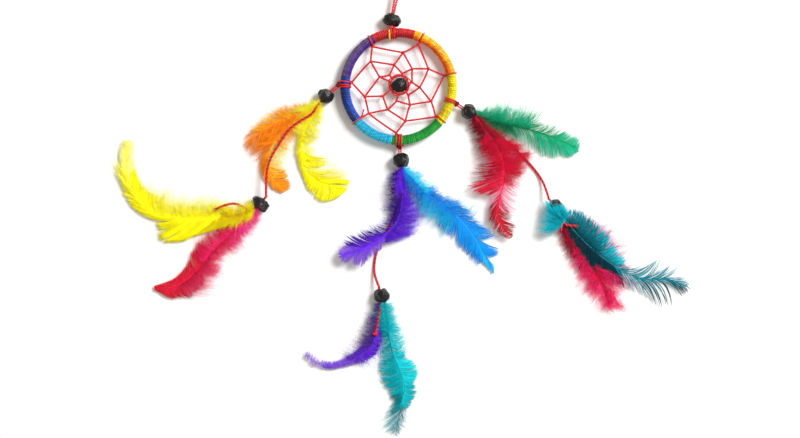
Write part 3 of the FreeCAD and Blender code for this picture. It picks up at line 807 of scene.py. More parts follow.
def rim_coil(shape, middle, turns, pitch, radius, shade, rng, wound=0.02):
    """Turns of cord side by side round the wrapped rim, starting and ending on its inner side."""
    steps = np.arange(int(turns * COIL_STEPS) + 1) / COIL_STEPS
    places = middle + np.degrees((steps - turns / 2) * pitch / HOOP_RADIUS)
    path = around_hoop(places, steps + 0.5, WRAP_OUTSIDE + wound + radius)
    light = 1.0 + 0.12 * np.sin(steps * 9.0) * rng.uniform(0.5, 1.0)
    tube(shape, path, radius, np.clip(linear(shade) * light[:, None], 0, 1), sides=8)


def make_lashings():
    """The cord turns and knots that tie the hanging loop and the pendants to the hoop."""
    rng = np.random.default_rng(5)
    shape = Shape()
    rim_coil(shape, 96.0, 2.3, 1.15, 0.42, "red", rng)
    piece = shape.build("loop_hitch_turns", "cord", "cord_red")
    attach(piece, "hoop")
    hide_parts("loop_hitch")
    for side, turns in (("left", 2.4), ("middle", 2.6), ("right", 2.2)):
        hinge = in_bore(f"{side}_upper", -LASH_HINGE[side])
        angle = math.degrees(math.atan2(hinge[1], hinge[0]))
        shape = Shape()
        rim_coil(shape, angle + 1.2, turns, 1.0, 0.38, "red", rng)
        lift = CORD_IN_BORE[f"{side}_upper"][1] * 0.7
        knot = polar(HOOP_RADIUS + WRAP_RADIUS + 1.15, angle, AXIS + lift)
        tube(shape, trefoil(knot, 1.25, angle), 0.42, linear("dark_red"), sides=8)
        piece = shape.build(f"{side}_lashing_turns", "cord", "cord_red")
        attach(piece, "hoop")
        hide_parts(f"{side}_lashing")


for number, (colour, start, end) in enumerate(WRAPS):
    make_wrap(colour, start, end, 40 + number)
make_lashings()
ring = bpy.data.objects["hoop_ring"]
ring.data.materials.clear()
ring.data.materials.append(MATERIALS["steel"])


# ---------------------------------------------------------------------------------------------------------
# Net
# ---------------------------------------------------------------------------------------------------------

HITCHES = {"a": 121.4, "b": 64.6, "c": 13.3, "d": -37.8, "e": -92.9, "f": -140.3, "g": 174.9}
NET_POINTS = {
    "a1": (-13.6, 20.6),
    "b1": (10.1, 21.8),
    "c1": (23.6, 5.7),
    "d1": (19.1, -15.7),
    "e1": (-1.2, -24.1),
    "f1": (-15.5, -14.0),
    "g1": (-24.2, 2.0),
    "ab1": (2.3, 17.5),
    "bc1": (15.4, 9.1),
    "cd1": (16.8, -7.8),
    "de1": (3.5, -17.9),
    "fg1": (-17.5, -5.3),
    "ga1": (-14.5, 13.0),
    "a2": (-2.3, 11.1),
    "b2": (7.0, 9.1),
    "c2": (10.9, -0.5),
    "d2": (5.9, -9.5),
    "e2": (-5.7, -12.0),
    "f2": (-8.2, -5.0),
    "g2": (-9.9, 4.9),
    "a3": (1.9, 6.6),
    "b3": (7.0, 2.1),
    "c3": (5.0, -4.4),
    "d3": (-0.9, -7.5),
    "f3": (-4.8, 5.7),
}
NET_ROUNDS = [
    "a1 ab1 b1 bc1 c1 cd1 d1 de1 e1 f1 fg1 g1 ga1 a1",
    "ga1 a2 ab1 b2 bc1 c2 cd1 d2 de1 e2 f1",
    "ga1 g2 fg1 f2 e2",
    "a2 a3 b2 b3 c2 c3 d2 d3 e2",
    "a2 f3 g2",
]
CENTRE = (0.4, 0.8)
CENTRE_SPOKES = {"a3": 75.0, "b3": 12.0, "c3": -48.0, "d3": -100.0, "f2": 205.0, "g2": 160.0, "f3": 137.0}
CENTRE_TURN_RADIUS = 4.6
NET_TWIST_RADIUS = THREAD_RADIUS * 1.4
NET_TURN = 2.0


def thread_between(shape, start, end, rng, radius=NET_TWIST_RADIUS):
    """One stretch of net thread, slightly bowed and uneven."""
    start, end = np.asarray(start, float), np.asarray(end, float)
    span = np.linalg.norm(end - start)
    shares = np.linspace(0, 1, max(5, int(span / 0.8)))
    aside = np.cross(UP, unit(end - start))
    bow = np.sin(math.pi * shares) * span * rng.normal(0, 0.012)
    path = start + (end - start) * shares[:, None] + aside * bow[:, None]
    path[:, 2] += np.sin(math.pi * shares) * rng.normal(0, 0.1)
    twisted(shape, path, radius, 2, NET_TURN, "red", rng, sides=6)


def net_knot(shape, point, rng):
    """A small knot of thread where two stretches meet."""
    steps = np.linspace(0, 2.2, 34)
    tilt = rng.uniform(0, math.pi)
    wide = 0.55
    around = 2 * math.pi * steps
    ring = np.stack([np.cos(around) * wide, (steps - 1.1) * 0.3, np.sin(around) * wide], -1)
    cos, sin = math.cos(tilt), math.sin(tilt)
    path = np.asarray(point) + ring @ np.array([[cos, sin, 0], [-sin, cos, 0], [0, 0, 1]])
    tube(shape, path, 0.32, linear("red") * rng.uniform(0.75, 1.1), sides=7)


def make_net():
    """The red net, its hitches on the rim, and the turns that hold the middle bead."""
    rng = np.random.default_rng(7)
    shape = Shape()
    points = {key: np.array([x, y, AXIS + rng.normal(0, 0.15)]) for key, (x, y) in NET_POINTS.items()}
    for key, angle in HITCHES.items():
        rim_coil(shape, angle, 1.3, 0.8, THREAD_RADIUS * 0.85, "red", rng)
        inner = polar(HOOP_RADIUS - WRAP_RADIUS - 0.4, angle, AXIS)
        thread_between(shape, inner, points[key + "1"], rng)
    for course in NET_ROUNDS:
        keys = course.split()
        for first, second in zip(keys, keys[1:]):
            thread_between(shape, points[first], points[second], rng)
    centre = np.array([*CENTRE, AXIS])
    for key, angle in CENTRE_SPOKES.items():
        thread_between(shape, points[key], centre + polar(CENTRE_TURN_RADIUS, angle), rng)
    for point in points.values():
        net_knot(shape, point, rng)
    angles = np.linspace(0, 2 * math.pi, 90)
    for number in range(4):
        loose = 0.02 + 0.02 * number
        wave = 1.0 + loose * np.sin(3 * angles + 2.3 * number) + 0.8 * loose * np.sin(5 * angles + 2 * number)
        reach = (CENTRE_TURN_RADIUS - 0.1 + 0.26 * number) * wave
        height = AXIS + 0.35 * np.sin(2 * angles + number * 1.7)
        ring = np.stack([centre[0] + reach * np.cos(angles), centre[1] + reach * np.sin(angles), height], -1)
        twisted(shape, ring, THREAD_RADIUS * 0.95, 2, NET_TURN, "red", rng, sides=6)
    thread_between(shape, centre - [CENTRE_TURN_RADIUS, 0, 0], centre + [CENTRE_TURN_RADIUS, 0, 0], rng,
                   radius=THREAD_RADIUS * 0.75)
    tail = [polar(25.0, HITCHES["f"], AXIS + 0.8), (-18.6, -14.0, AXIS + 0.6), (-18.0, -11.9, AXIS + 0.4)]
    twisted(shape, tail, THREAD_RADIUS, 2, NET_TURN, "red", rng, sides=6)
    piece = shape.build("net_thread_twisted", "thread", "net_thread")
    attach(piece, "hoop")
    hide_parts("web_thread")
    end = Shape()
    over_rim = around_hoop([99.4, 99.8, 100.4, 101.0], [0.16, 0.24, 0.33, 0.43], WRAP_OUTSIDE + 0.4)
    twisted(end, [*over_rim, (-5.1, 24.2, AXIS - 0.4)], 0.5, 2, 1.8, "golden", rng)
    end = end.build("wrap_thread_end", "thread", "wrap_orange")
    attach(end, "hoop")


make_net()


# ---------------------------------------------------------------------------------------------------------
# Beads
# ---------------------------------------------------------------------------------------------------------


BEAD_SIDES = 96
BEAD_RINGS = 56
CUT_COUNT = 34
RIPPLE_COUNT = 14
PIT_COUNT = 40


def make_bead(name, node, middle, degrees, half_length, half_width, half_height, bore, body, seed, lobes):
    """A hand-cut bead: a barrel with a real bore, flats cut on it, and lobes where it has them."""
    rng = np.random.default_rng(seed)
    around = np.linspace(0, 2 * math.pi, BEAD_SIDES, endpoint=False)
    mouth = math.asin(min(0.95, bore / min(half_width, half_height)))
    outside = np.linspace(mouth, math.pi - mouth, BEAD_RINGS)
    profile = [(-math.cos(a), math.sin(a)) for a in outside]
    sphere = np.array([[(c, s * math.cos(t), s * math.sin(t)) for t in around] for c, s in profile])
    cuts = unit(rng.normal(size=(CUT_COUNT, 3)) * [0.8, 1.0, 1.0])
    depths = rng.uniform(0.76, 0.93, len(cuts))
    for cut, depth in zip(cuts, depths):
        over = np.maximum(sphere @ cut - depth, 0.0)
        sphere -= over[..., None] * cut * 0.85
    ripple = 1.0 + lobes * np.cos(3 * np.broadcast_to(around, sphere.shape[:2]) + rng.uniform(0, 6))
    for _ in range(RIPPLE_COUNT):
        way = unit(rng.normal(size=3)) * rng.uniform(4.0, 13.0)
        ripple += 0.009 * np.sin(sphere @ way + rng.uniform(0, 6))
    for pit in unit(rng.normal(size=(PIT_COUNT, 3))):
        ripple -= rng.uniform(0.02, 0.06) * np.exp((sphere @ pit - 1.0) / 0.012)
    sphere *= ripple[..., None] * 1.06
    sphere = np.clip(sphere, -0.995, 0.995)
    size = np.array([half_length, half_width, half_height])
    outer = sphere * size
    inner_x = np.linspace(outer[-1, :, 0].mean(), outer[0, :, 0].mean(), 9)[1:-1]
    wall = np.array([[(x, bore * math.cos(t), bore * math.sin(t)) for t in around] for x in inner_x])
    rings = np.concatenate([outer, wall])
    forward, aside = heading(degrees), heading(degrees + 90.0)
    points = np.array([*middle, AXIS]) + rings @ np.array([forward, aside, UP])
    count, sides = rings.shape[:2]
    grid = np.arange(count * sides).reshape(count, sides)
    ahead = np.roll(grid, -1, axis=1)
    below, below_ahead = np.roll(grid, -1, axis=0), np.roll(ahead, -1, axis=0)
    quads = np.stack([grid, ahead, below_ahead, below], axis=-1).reshape(-1, 4)
    shape = Shape()
    shape.add(points.reshape(-1, 3), quads, [], linear("black"))
    piece = shape.build(name, "bead", "bead_black")
    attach(piece, body)
    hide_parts(node)


def make_beads():
    """All the beads, each on its own body."""
    for number, (key, (middle, degrees, half_length, half_width)) in enumerate(BEADS.items()):
        side, _, level = key.partition("_")
        body = "top_bead" if key == "top" else f"{side}_{'pendant' if level == 'upper' else 'drop'}"
        lobes = 0.07 if key in ("top", "left_lower") else 0.015
        make_bead(f"{key}_bead_cut", f"{key}_bead", middle, degrees, half_length, half_width, AXIS,
                  BORE_RADIUS, body, 60 + number, lobes)
    make_bead("centre_bead_cut", "centre_bead", CENTRE, 0.0, 4.0, 3.8, 3.8, THREAD_RADIUS + 0.05,
              "centre_bead", 70, 0.012)


make_beads()


# ---------------------------------------------------------------------------------------------------------
# Feathers
# ---------------------------------------------------------------------------------------------------------


@dataclass
class Fan:
    """Barbs from a stretch of the shaft out to an edge."""

    start: float                # share of the shaft where the fan begins
    stop: float                 # share of the shaft where it ends
    edge: list                  # points that the barbs' tips reach, x and y
    shades: tuple               # dye at the root and at the tip
    spacing: float = 0.34       # between barbs, at the wider of root and edge
    fill: float = 0.9           # share of the spacing that a barb covers
    angle: float = 42.0         # between the shaft and a barb where it leaves
    ragged: float = 0.25        # how much shorter barbs may be
    lock: float = 2.0           # width of the locks that barbs gather in
    clump: float = 0.45         # how far barbs gather to the middle of their lock
    loose: float = 0.5          # sideways waver at the tips
    fuzz: float = 0.0           # barbules to a millimetre of barb
    fuzz_length: float = 1.2    # length of the barbules
    lift: float = 0.6           # how high the barbs arch
    tip_height: float = 1.2     # height of the edge above the floor
    layers: float = 0.35        # spread of the barbs in height
    taper: float = 0.5          # share of a barb where it starts to thin
    halo: float = 0.2           # how far the longest hairs reach past the edge


@dataclass
class Vane(Fan):
    """Barbs hooked together into a smooth blade."""

    spacing: float = 0.3
    fill: float = 1.35
    ragged: float = 0.05
    lock: float = 4.0
    clump: float = 0.1
    loose: float = 0.12
    layers: float = 0.07
    taper: float = 0.78
    halo: float = 0.1


@dataclass
class Down(Fan):
    """Fluff: loose barbs with long hairs on them."""

    spacing: float = 0.2
    fill: float = 0.55
    ragged: float = 0.55
    lock: float = 1.8
    clump: float = 0.5
    loose: float = 0.9
    fuzz: float = 2.2
    fuzz_length: float = 1.5
    lift: float = 3.0
    layers: float = 0.8
    taper: float = 0.3
    halo: float = 0.35


def barb_paths(fan, shaft, edge, rng, count, steps):
    """The lines of a fan's barbs, from roots on the shaft to tips along the edge."""
    shares = np.clip((np.arange(count) + rng.uniform(-0.45, 0.45, count) + 0.5) / count, 0, 1)
    locks = max(1, int(edge.length / fan.lock))
    borders = np.sort(np.concatenate([[0.0, 1.0], rng.uniform(0, 1, locks - 1)]))
    which = np.clip(np.searchsorted(borders, shares) - 1, 0, len(borders) - 2)
    middles = (borders[which] + borders[which + 1]) / 2
    places = fan.start + (fan.stop - fan.start) * shares
    roots = shaft.at(places)
    ways = unit(shaft.direction(places) * [1.0, 1.0, 0.0])
    tips = edge.at(shares + (middles - shares) * fan.clump)
    reach = 1.0 - fan.ragged * rng.uniform(0, 0.8, len(borders))[which]
    reach = reach * (1.0 - fan.ragged * rng.uniform(0, 1, count) ** 2)
    tips = roots + (tips - roots) * reach[:, None]
    tips[:, 2] = fan.tip_height + rng.normal(0, fan.layers * 0.6, count)
    spans = (tips - roots) * [1.0, 1.0, 0.0]
    lengths = np.linalg.norm(spans, axis=1)
    outward = unit(spans - ways * np.sum(spans * ways, axis=1, keepdims=True))
    angle = math.radians(fan.angle)
    bend = roots + (ways * math.cos(angle) + outward * math.sin(angle)) * lengths[:, None] * 0.45
    bend[:, 2] = (roots[:, 2] + tips[:, 2]) / 2 + fan.lift + rng.normal(0, fan.layers, count)
    u = np.linspace(0, 1, steps)[None, :, None]
    paths = roots[:, None] * (1 - u) ** 2 + 2 * bend[:, None] * u * (1 - u) + tips[:, None] * u**2
    paths[..., :2] += rng.normal(0, fan.loose, (count, 1, 2)) * u**1.5
    paths[..., :2] += rng.normal(0, fan.loose * 0.6, (count, 1, 2)) * np.sin(math.pi * 1.5 * u)
    paths[..., 2] = np.maximum(paths[..., 2], 0.3)
    return paths


def barbules(shape, paths, dyes_and_shades, fan, rng):
    """Fine hairs on both sides of loose barbs."""
    number, steps, _ = paths.shape
    mean_length = np.linalg.norm(np.diff(paths, axis=1), axis=2).sum(axis=1).mean()
    each = max(2, int(mean_length * fan.fuzz))
    shares = np.linspace(0.06, 0.97, each)[None] + rng.uniform(-0.4, 0.4, (number, each)) / each
    shares = np.clip(shares, 0, 0.999) * (steps - 1)
    lower = shares.astype(int)
    part = (shares - lower)[..., None]
    rows = np.arange(number)[:, None]
    bases = paths[rows, lower] * (1 - part) + paths[rows, lower + 1] * part
    ways = unit(paths[rows, lower + 1] - paths[rows, lower])
    colours = dyes_and_shades[rows, lower] * rng.uniform(0.9, 1.25, (number, each, 1))
    sides = np.where(rng.random((number, each, 1)) < 0.5, -1.0, 1.0)
    across = np.cross(np.broadcast_to(UP, ways.shape), ways) * sides
    lean = rng.uniform(0.5, 1.1, (number, each, 1))
    rise = rng.normal(0.15, 0.5, (number, each, 1)) * UP
    directions = unit(across + ways * lean + rise)
    lengths = fan.fuzz_length * rng.uniform(0.45, 1.1, (number, each, 1))
    middle = bases + directions * lengths * 0.55
    tips = bases + unit(directions + ways * 0.5) * lengths
    lines = np.stack([bases, middle, tips], axis=2).reshape(-1, 3, 3)
    lines[..., 2] = np.maximum(lines[..., 2], 0.15)
    widths = np.broadcast_to([0.055, 0.04, 0.01], (len(lines), 3))
    tinted = np.repeat(np.clip(colours, 0, 1).reshape(-1, 1, 3), 3, axis=1)
    strands(shape, lines, widths, widths, tinted)


def add_fan(shape, fan, shaft, rng, steps=9):
    """A fan of barbs, with hairs on them where it is downy."""
    section = (fan.stop - fan.start) * shaft.length
    edge = Line([(x, y, 0.0) for x, y in fan.edge], step=0.8)
    count = max(4, int(max(section, edge.length) / fan.spacing))
    paths = barb_paths(fan, shaft, edge, rng, count, steps)
    u = np.linspace(0, 1, steps)[None]
    gap = (section * (1 - u) + edge.length * u) / count
    taper = 1.0 - 0.8 * np.clip((u - fan.taper) / (1.0 - fan.taper), 0, 1) ** 1.5
    widths = np.clip(0.5 * fan.fill * gap, 0.045, 0.5) * taper * rng.uniform(0.85, 1.15, (count, 1))
    heights = np.minimum(widths * 0.5, 0.08)
    tone = rng.uniform(0.8, 1.12, (count, 1, 1))
    root, tip = linear(fan.shades[0]), linear(fan.shades[1])
    blend = np.clip(u * 1.15, 0, 1)[..., None]
    dyes_and_shades = np.clip((root * (1 - blend) + tip * blend) * tone, 0, 1)
    strands(shape, paths, widths, heights, dyes_and_shades)
    if fan.fuzz:
        barbules(shape, paths, dyes_and_shades, fan, rng)
    if fan.halo:
        hairs = replace(fan, halo=0.0, ragged=-fan.halo, spacing=max(0.4, fan.spacing * 1.6), fill=0.12,
                        taper=0.0, loose=fan.loose + 0.4, fuzz=0.0)
        add_fan(shape, hairs, shaft, rng, steps)


def flat_shares(line, points):
    """How far along a level line each of its own points lies, as shares of its length."""
    found = []
    for x, y in points:
        gaps = np.hypot(line.samples[:, 0] - x, line.samples[:, 1] - y)
        found.append(line.along[gaps.argmin()] / line.length)
    return np.array(found)


def make_feather(node, bead, seed, slot, shaft, heights, fans, quill_shade, bore_offset, quill_width=0.3):
    """A feather: its shaft from inside the bead's bore to its tip, and its fans of barbs."""
    rng = np.random.default_rng(seed)
    side, _, level = bead.partition("_")
    body = f"{side}_{'pendant' if level == 'upper' else 'drop'}"
    inside = in_bore(bead, 0.5, *bore_offset)
    mouth = in_bore(bead, BEADS[bead][2] - 0.4, *bore_offset)
    flat = Line([(x, y, 0.0) for x, y in shaft])
    levels = np.interp(flat_shares(flat, shaft), [0.0, 0.35, 0.7, 1.0], heights)
    places = [(x, y, z) for (x, y), z in zip(shaft, levels)]
    line = Line([inside, mouth, *places])
    quill = Shape()
    widths = quill_width * (1.0 - 0.75 * line.along / line.length)
    tube(quill, line.samples, widths, linear(quill_shade), blunt=False)
    quill = quill.build(f"{node}_shaft", "quill", slot)
    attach(quill, body)
    vane = Line([mouth, *places])
    shape = Shape()
    for fan in fans:
        add_fan(shape, fan, vane, rng)
    piece = shape.build(f"{node}_barbs", "feather", slot)
    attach(piece, body)
    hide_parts(node)


def make_left_upper_feathers():
    """Two orange feathers and a yellow one, under the cord."""
    make_feather(
        "left_upper_feather_orange_outer", "left_upper", 101, "feather_orange",
        [(-41.6, -9.4), (-51.0, -13.4), (-60.4, -17.4), (-69.8, -22.6), (-77.5, -28.0)], (4.4, 4.2, 3.4, 1.6),
        [
            Down(0.16, 0.5, [(-50.0, -9.0), (-58.0, -8.8), (-66.3, -11.4)], ("golden", "orange"),
                 tip_height=3.0, fill=0.6, lift=1.2),
            Down(0.0, 0.2, [(-42.0, -8.4), (-48.0, -9.2), (-54.0, -11.4), (-57.0, -14.0)],
                 ("yellow", "light_yellow"), tip_height=4.4, fill=1.0, spacing=0.13, lift=1.8, angle=20),
            Down(0.0, 0.22, [(-42.6, -13.0), (-47.0, -17.4), (-52.0, -20.6), (-57.0, -19.6)],
                 ("yellow", "golden"), tip_height=3.8, fill=1.0, spacing=0.13, lift=1.4, angle=20),
            Fan(0.35, 0.8, [(-64.0, -10.6), (-72.2, -15.4), (-75.7, -19.7), (-78.6, -23.4)],
                ("orange", "golden"), lock=1.6, tip_height=2.6, fuzz=0.6),
            Fan(0.65, 1.0, [(-76.5, -20.5), (-81.6, -26.2), (-82.0, -29.0), (-80.5, -33.0)],
                ("orange", "orange"), fill=0.5, spacing=0.5, loose=0.8, lock=1.6, ragged=0.5),
            Fan(0.12, 0.62, [(-48.0, -19.0), (-56.0, -24.0), (-64.0, -28.6), (-71.0, -32.0)],
                ("deep_orange", "orange"), tip_height=2.6, fill=1.2),
            Fan(0.5, 1.0, [(-68.0, -31.0), (-74.5, -35.0), (-78.5, -36.5), (-80.0, -33.0)],
                ("deep_orange", "orange"), lock=1.8, ragged=0.35),
        ],
        "deep_orange", (-0.9, -0.15),
    )
    make_feather(
        "left_upper_feather_orange_inner", "left_upper", 102, "feather_orange",
        [(-42.4, -10.6), (-55.0, -19.0), (-64.0, -28.0), (-68.0, -38.0), (-65.6, -46.2), (-59.0, -53.6)],
        (3.8, 3.6, 2.8, 1.4),
        [
            Fan(0.15, 0.55, [(-60.0, -16.5), (-67.0, -20.5), (-73.0, -26.0), (-76.0, -31.0)],
                ("deep_orange", "orange"), fill=1.1, lock=2.0, ragged=0.3, tip_height=2.2),
            Fan(0.35, 0.8, [(-75.7, -29.7), (-77.0, -36.0), (-74.0, -42.0), (-71.0, -48.0)],
                ("deep_orange", "orange"), lock=1.6, ragged=0.35),
            Vane(0.62, 1.0, [(-71.8, -44.0), (-69.0, -50.5), (-65.0, -53.6), (-61.0, -55.4), (-58.8, -55.0)],
                 ("orange", "orange"), lock=2.2, clump=0.35, ragged=0.15),
            Fan(0.1, 0.5, [(-49.0, -22.0), (-53.6, -28.0), (-55.6, -34.0)],
                ("deep_orange", "golden"), fill=1.1, tip_height=2.0),
            Fan(0.45, 0.85, [(-55.0, -32.0), (-57.0, -40.0), (-57.0, -46.0)],
                ("golden", "pale_gold"), lock=1.8, ragged=0.3),
            Vane(0.75, 1.0, [(-58.0, -43.0), (-56.0, -49.5), (-55.4, -52.6)],
                 ("orange", "orange"), lock=2.4, clump=0.3, ragged=0.08),
        ],
        "deep_orange", (0.0, -0.65),
    )
    make_feather(
        "left_upper_feather_yellow", "left_upper", 103, "feather_yellow",
        [(-41.6, -11.4), (-47.4, -21.0), (-50.6, -32.0), (-49.4, -41.0), (-45.0, -46.6), (-38.6, -50.2),
         (-29.0, -51.2)],
        (4.2, 3.4, 2.4, 1.2),
        [
            Down(0.0, 0.3, [(-43.0, -8.0), (-50.0, -11.0), (-56.0, -14.6), (-56.0, -21.0)],
                 ("yellow", "light_yellow"), lift=1.0, tip_height=3.2, angle=20, spacing=0.13, fill=0.8),
            Fan(0.1, 0.5, [(-50.0, -21.0), (-53.4, -29.0), (-52.4, -37.0)],
                ("yellow", "yellow"), fill=1.2, ragged=0.2, tip_height=2.0),
            Vane(0.44, 0.74, [(-52.2, -36.8), (-49.8, -46.2), (-47.4, -54.5)], ("yellow", "yellow")),
            Vane(0.7, 1.0, [(-48.4, -52.4), (-41.5, -60.0), (-34.4, -59.6), (-28.5, -55.7)],
                 ("yellow", "yellow")),
            Down(0.02, 0.36, [(-39.0, -12.6), (-40.0, -24.4), (-42.6, -31.0)], ("yellow", "yellow"),
                 ragged=0.3, tip_height=2.4, loose=0.6, lift=0.8),
            Fan(0.34, 0.52, [(-42.0, -32.0), (-39.6, -37.0), (-40.4, -39.0)], ("yellow", "yellow"), fill=0.8,
                lock=1.4, clump=0.6, ragged=0.4, angle=30),
            Vane(0.44, 0.58, [(-30.0, -37.4), (-29.0, -38.6), (-33.0, -40.2)], ("warm_yellow", "yellow"),
                 lock=2.4, clump=0.6, ragged=0.35, angle=40, taper=0.5),
            Fan(0.56, 0.8, [(-28.4, -41.0), (-25.6, -43.6), (-24.4, -47.4)], ("yellow", "yellow"), fill=0.6,
                spacing=0.4, loose=0.25, lock=1.8, ragged=0.15, angle=30),
            Vane(0.78, 1.0, [(-24.6, -47.6), (-24.8, -51.0), (-27.6, -55.6)], ("yellow", "yellow"), angle=30),
        ],
        "warm_yellow", (0.9, -0.95),
    )


def make_left_lower_feathers():
    """A broad yellow feather, curved up at its end, and a crimson one."""
    make_feather(
        "left_lower_feather_yellow", "left_lower", 104, "feather_yellow",
        [(-76.0, -64.8), (-86.3, -66.9), (-96.0, -67.6), (-106.0, -68.0), (-117.0, -68.0), (-125.3, -66.5),
         (-131.2, -62.7), (-137.1, -54.5), (-140.6, -46.2), (-141.2, -38.0), (-140.6, -28.4)],
        (3.6, 3.2, 2.8, 2.4),
        [
            Down(0.0, 0.16, [(-76.0, -59.6), (-80.0, -59.0), (-86.0, -59.6), (-92.0, -60.6)],
                 ("gold", "yellow"), tip_height=5.2, lift=3.8, spacing=0.16, fill=0.9, clump=0.7),
            Down(0.0, 0.2, [(-77.0, -68.6), (-84.0, -72.0), (-92.0, -73.6), (-98.0, -74.6)],
                 ("gold", "yellow"), tip_height=4.0, lift=3.4, spacing=0.16, fill=0.9, clump=0.7),
            Vane(0.12, 0.5, [(-90.0, -60.2), (-100.0, -59.4), (-112.0, -58.4), (-122.0, -56.6)],
                 ("warm_yellow", "yellow"), fill=1.2, clump=0.2, ragged=0.3, taper=0.5),
            Down(0.14, 0.55, [(-88.0, -57.6), (-100.0, -55.6), (-114.0, -53.0), (-128.0, -49.4)],
                 ("yellow", "light_yellow"), fill=0.4, spacing=0.3, fuzz=1.4, ragged=0.4, loose=0.4,
                 clump=0.2,
                 tip_height=1.6, lift=0.4, layers=0.3, halo=0.15),
            Vane(0.48, 0.8, [(-121.0, -57.0), (-129.0, -54.0), (-134.0, -48.6), (-136.4, -41.0)],
                 ("yellow", "yellow"), fill=1.2),
            Fan(0.5, 0.8, [(-125.0, -52.4), (-132.0, -48.6), (-135.3, -43.9), (-136.0, -38.0)],
                ("yellow", "yellow"), fill=0.5, spacing=0.5, loose=0.3),
            Vane(0.76, 1.0, [(-136.4, -41.0), (-136.4, -34.0), (-136.6, -28.6)],
                 ("light_yellow", "pale_yellow"), angle=25, fill=1.0, ragged=0.15),
            Vane(0.8, 1.0, [(-144.6, -36.0), (-144.8, -32.0), (-144.2, -28.6)],
                 ("light_yellow", "pale_yellow"), angle=25, fill=1.0, ragged=0.15),
            Fan(0.66, 0.82, [(-147.0, -44.0), (-149.4, -39.0), (-149.6, -34.0)], ("yellow", "light_yellow"),
                fill=0.9, spacing=0.5, loose=0.3, lock=2.0, clump=0.75, ragged=0.3, angle=18),
            Vane(0.5, 0.74, [(-133.0, -66.0), (-139.0, -62.0), (-143.4, -55.0), (-145.6, -47.6)],
                 ("yellow", "yellow"), fill=1.1, clump=0.25, ragged=0.12, angle=20),
            Vane(0.4, 0.54, [(-126.0, -69.0), (-129.0, -68.0), (-134.0, -65.6)], ("yellow", "yellow"),
                 angle=20),
            Vane(0.22, 0.44, [(-112.0, -80.6), (-118.0, -81.4), (-124.6, -80.4), (-126.6, -70.0)],
                 ("yellow", "yellow"), clump=0.15),
            Vane(0.1, 0.3, [(-97.0, -74.0), (-103.0, -77.0), (-108.8, -79.6), (-114.0, -80.6)],
                 ("warm_yellow", "yellow"), clump=0.2, ragged=0.15),
        ],
        "warm_yellow", (-0.5, -0.2),
    )
    make_feather(
        "left_lower_feather_crimson", "left_lower", 105, "feather_crimson",
        [(-75.7, -66.6), (-81.6, -72.2), (-88.7, -78.1), (-95.8, -85.2), (-101.7, -92.2), (-108.8, -99.3),
         (-117.0, -103.6), (-126.6, -104.0)],
        (2.8, 2.4, 2.0, 1.4),
        [
            Down(0.06, 0.55, [(-84.0, -71.0), (-92.0, -72.6), (-99.0, -75.0), (-105.6, -80.0)],
                 ("hot_pink", "crimson"), fill=1.1, ragged=0.25, spacing=0.22, lift=1.6),
            Vane(0.45, 0.85, [(-104.0, -79.0), (-107.6, -85.0), (-110.0, -92.2), (-114.0, -97.6)],
                 ("crimson", "scarlet"), clump=0.3, ragged=0.15),
            Vane(0.8, 1.0, [(-113.5, -97.4), (-119.0, -100.4), (-126.0, -103.0)], ("scarlet", "scarlet")),
            Down(0.0, 0.3, [(-71.6, -67.6), (-73.4, -74.0), (-78.6, -80.4), (-83.0, -84.6)],
                 ("magenta", "magenta"), spacing=0.14, fill=0.8),
            Down(0.2, 0.62, [(-80.4, -81.6), (-87.0, -86.8), (-91.0, -91.0), (-91.6, -97.0)],
                 ("crimson", "pink"), spacing=0.15, fill=0.8),
            Down(0.5, 0.8, [(-91.6, -95.0), (-94.6, -102.0), (-99.6, -107.6)], ("crimson", "pink"),
                 fuzz=1.4, ragged=0.35),
            Vane(0.6, 0.95, [(-98.0, -103.4), (-103.6, -108.6), (-109.0, -110.6), (-116.6, -110.4)],
                 ("crimson", "scarlet"), lock=2.4, clump=0.4, ragged=0.25),
            Vane(0.86, 1.0, [(-115.8, -110.6), (-121.0, -108.4), (-126.6, -105.4)], ("scarlet", "scarlet"),
                 clump=0.2),
        ],
        "hot_pink", (0.5, -0.8),
    )


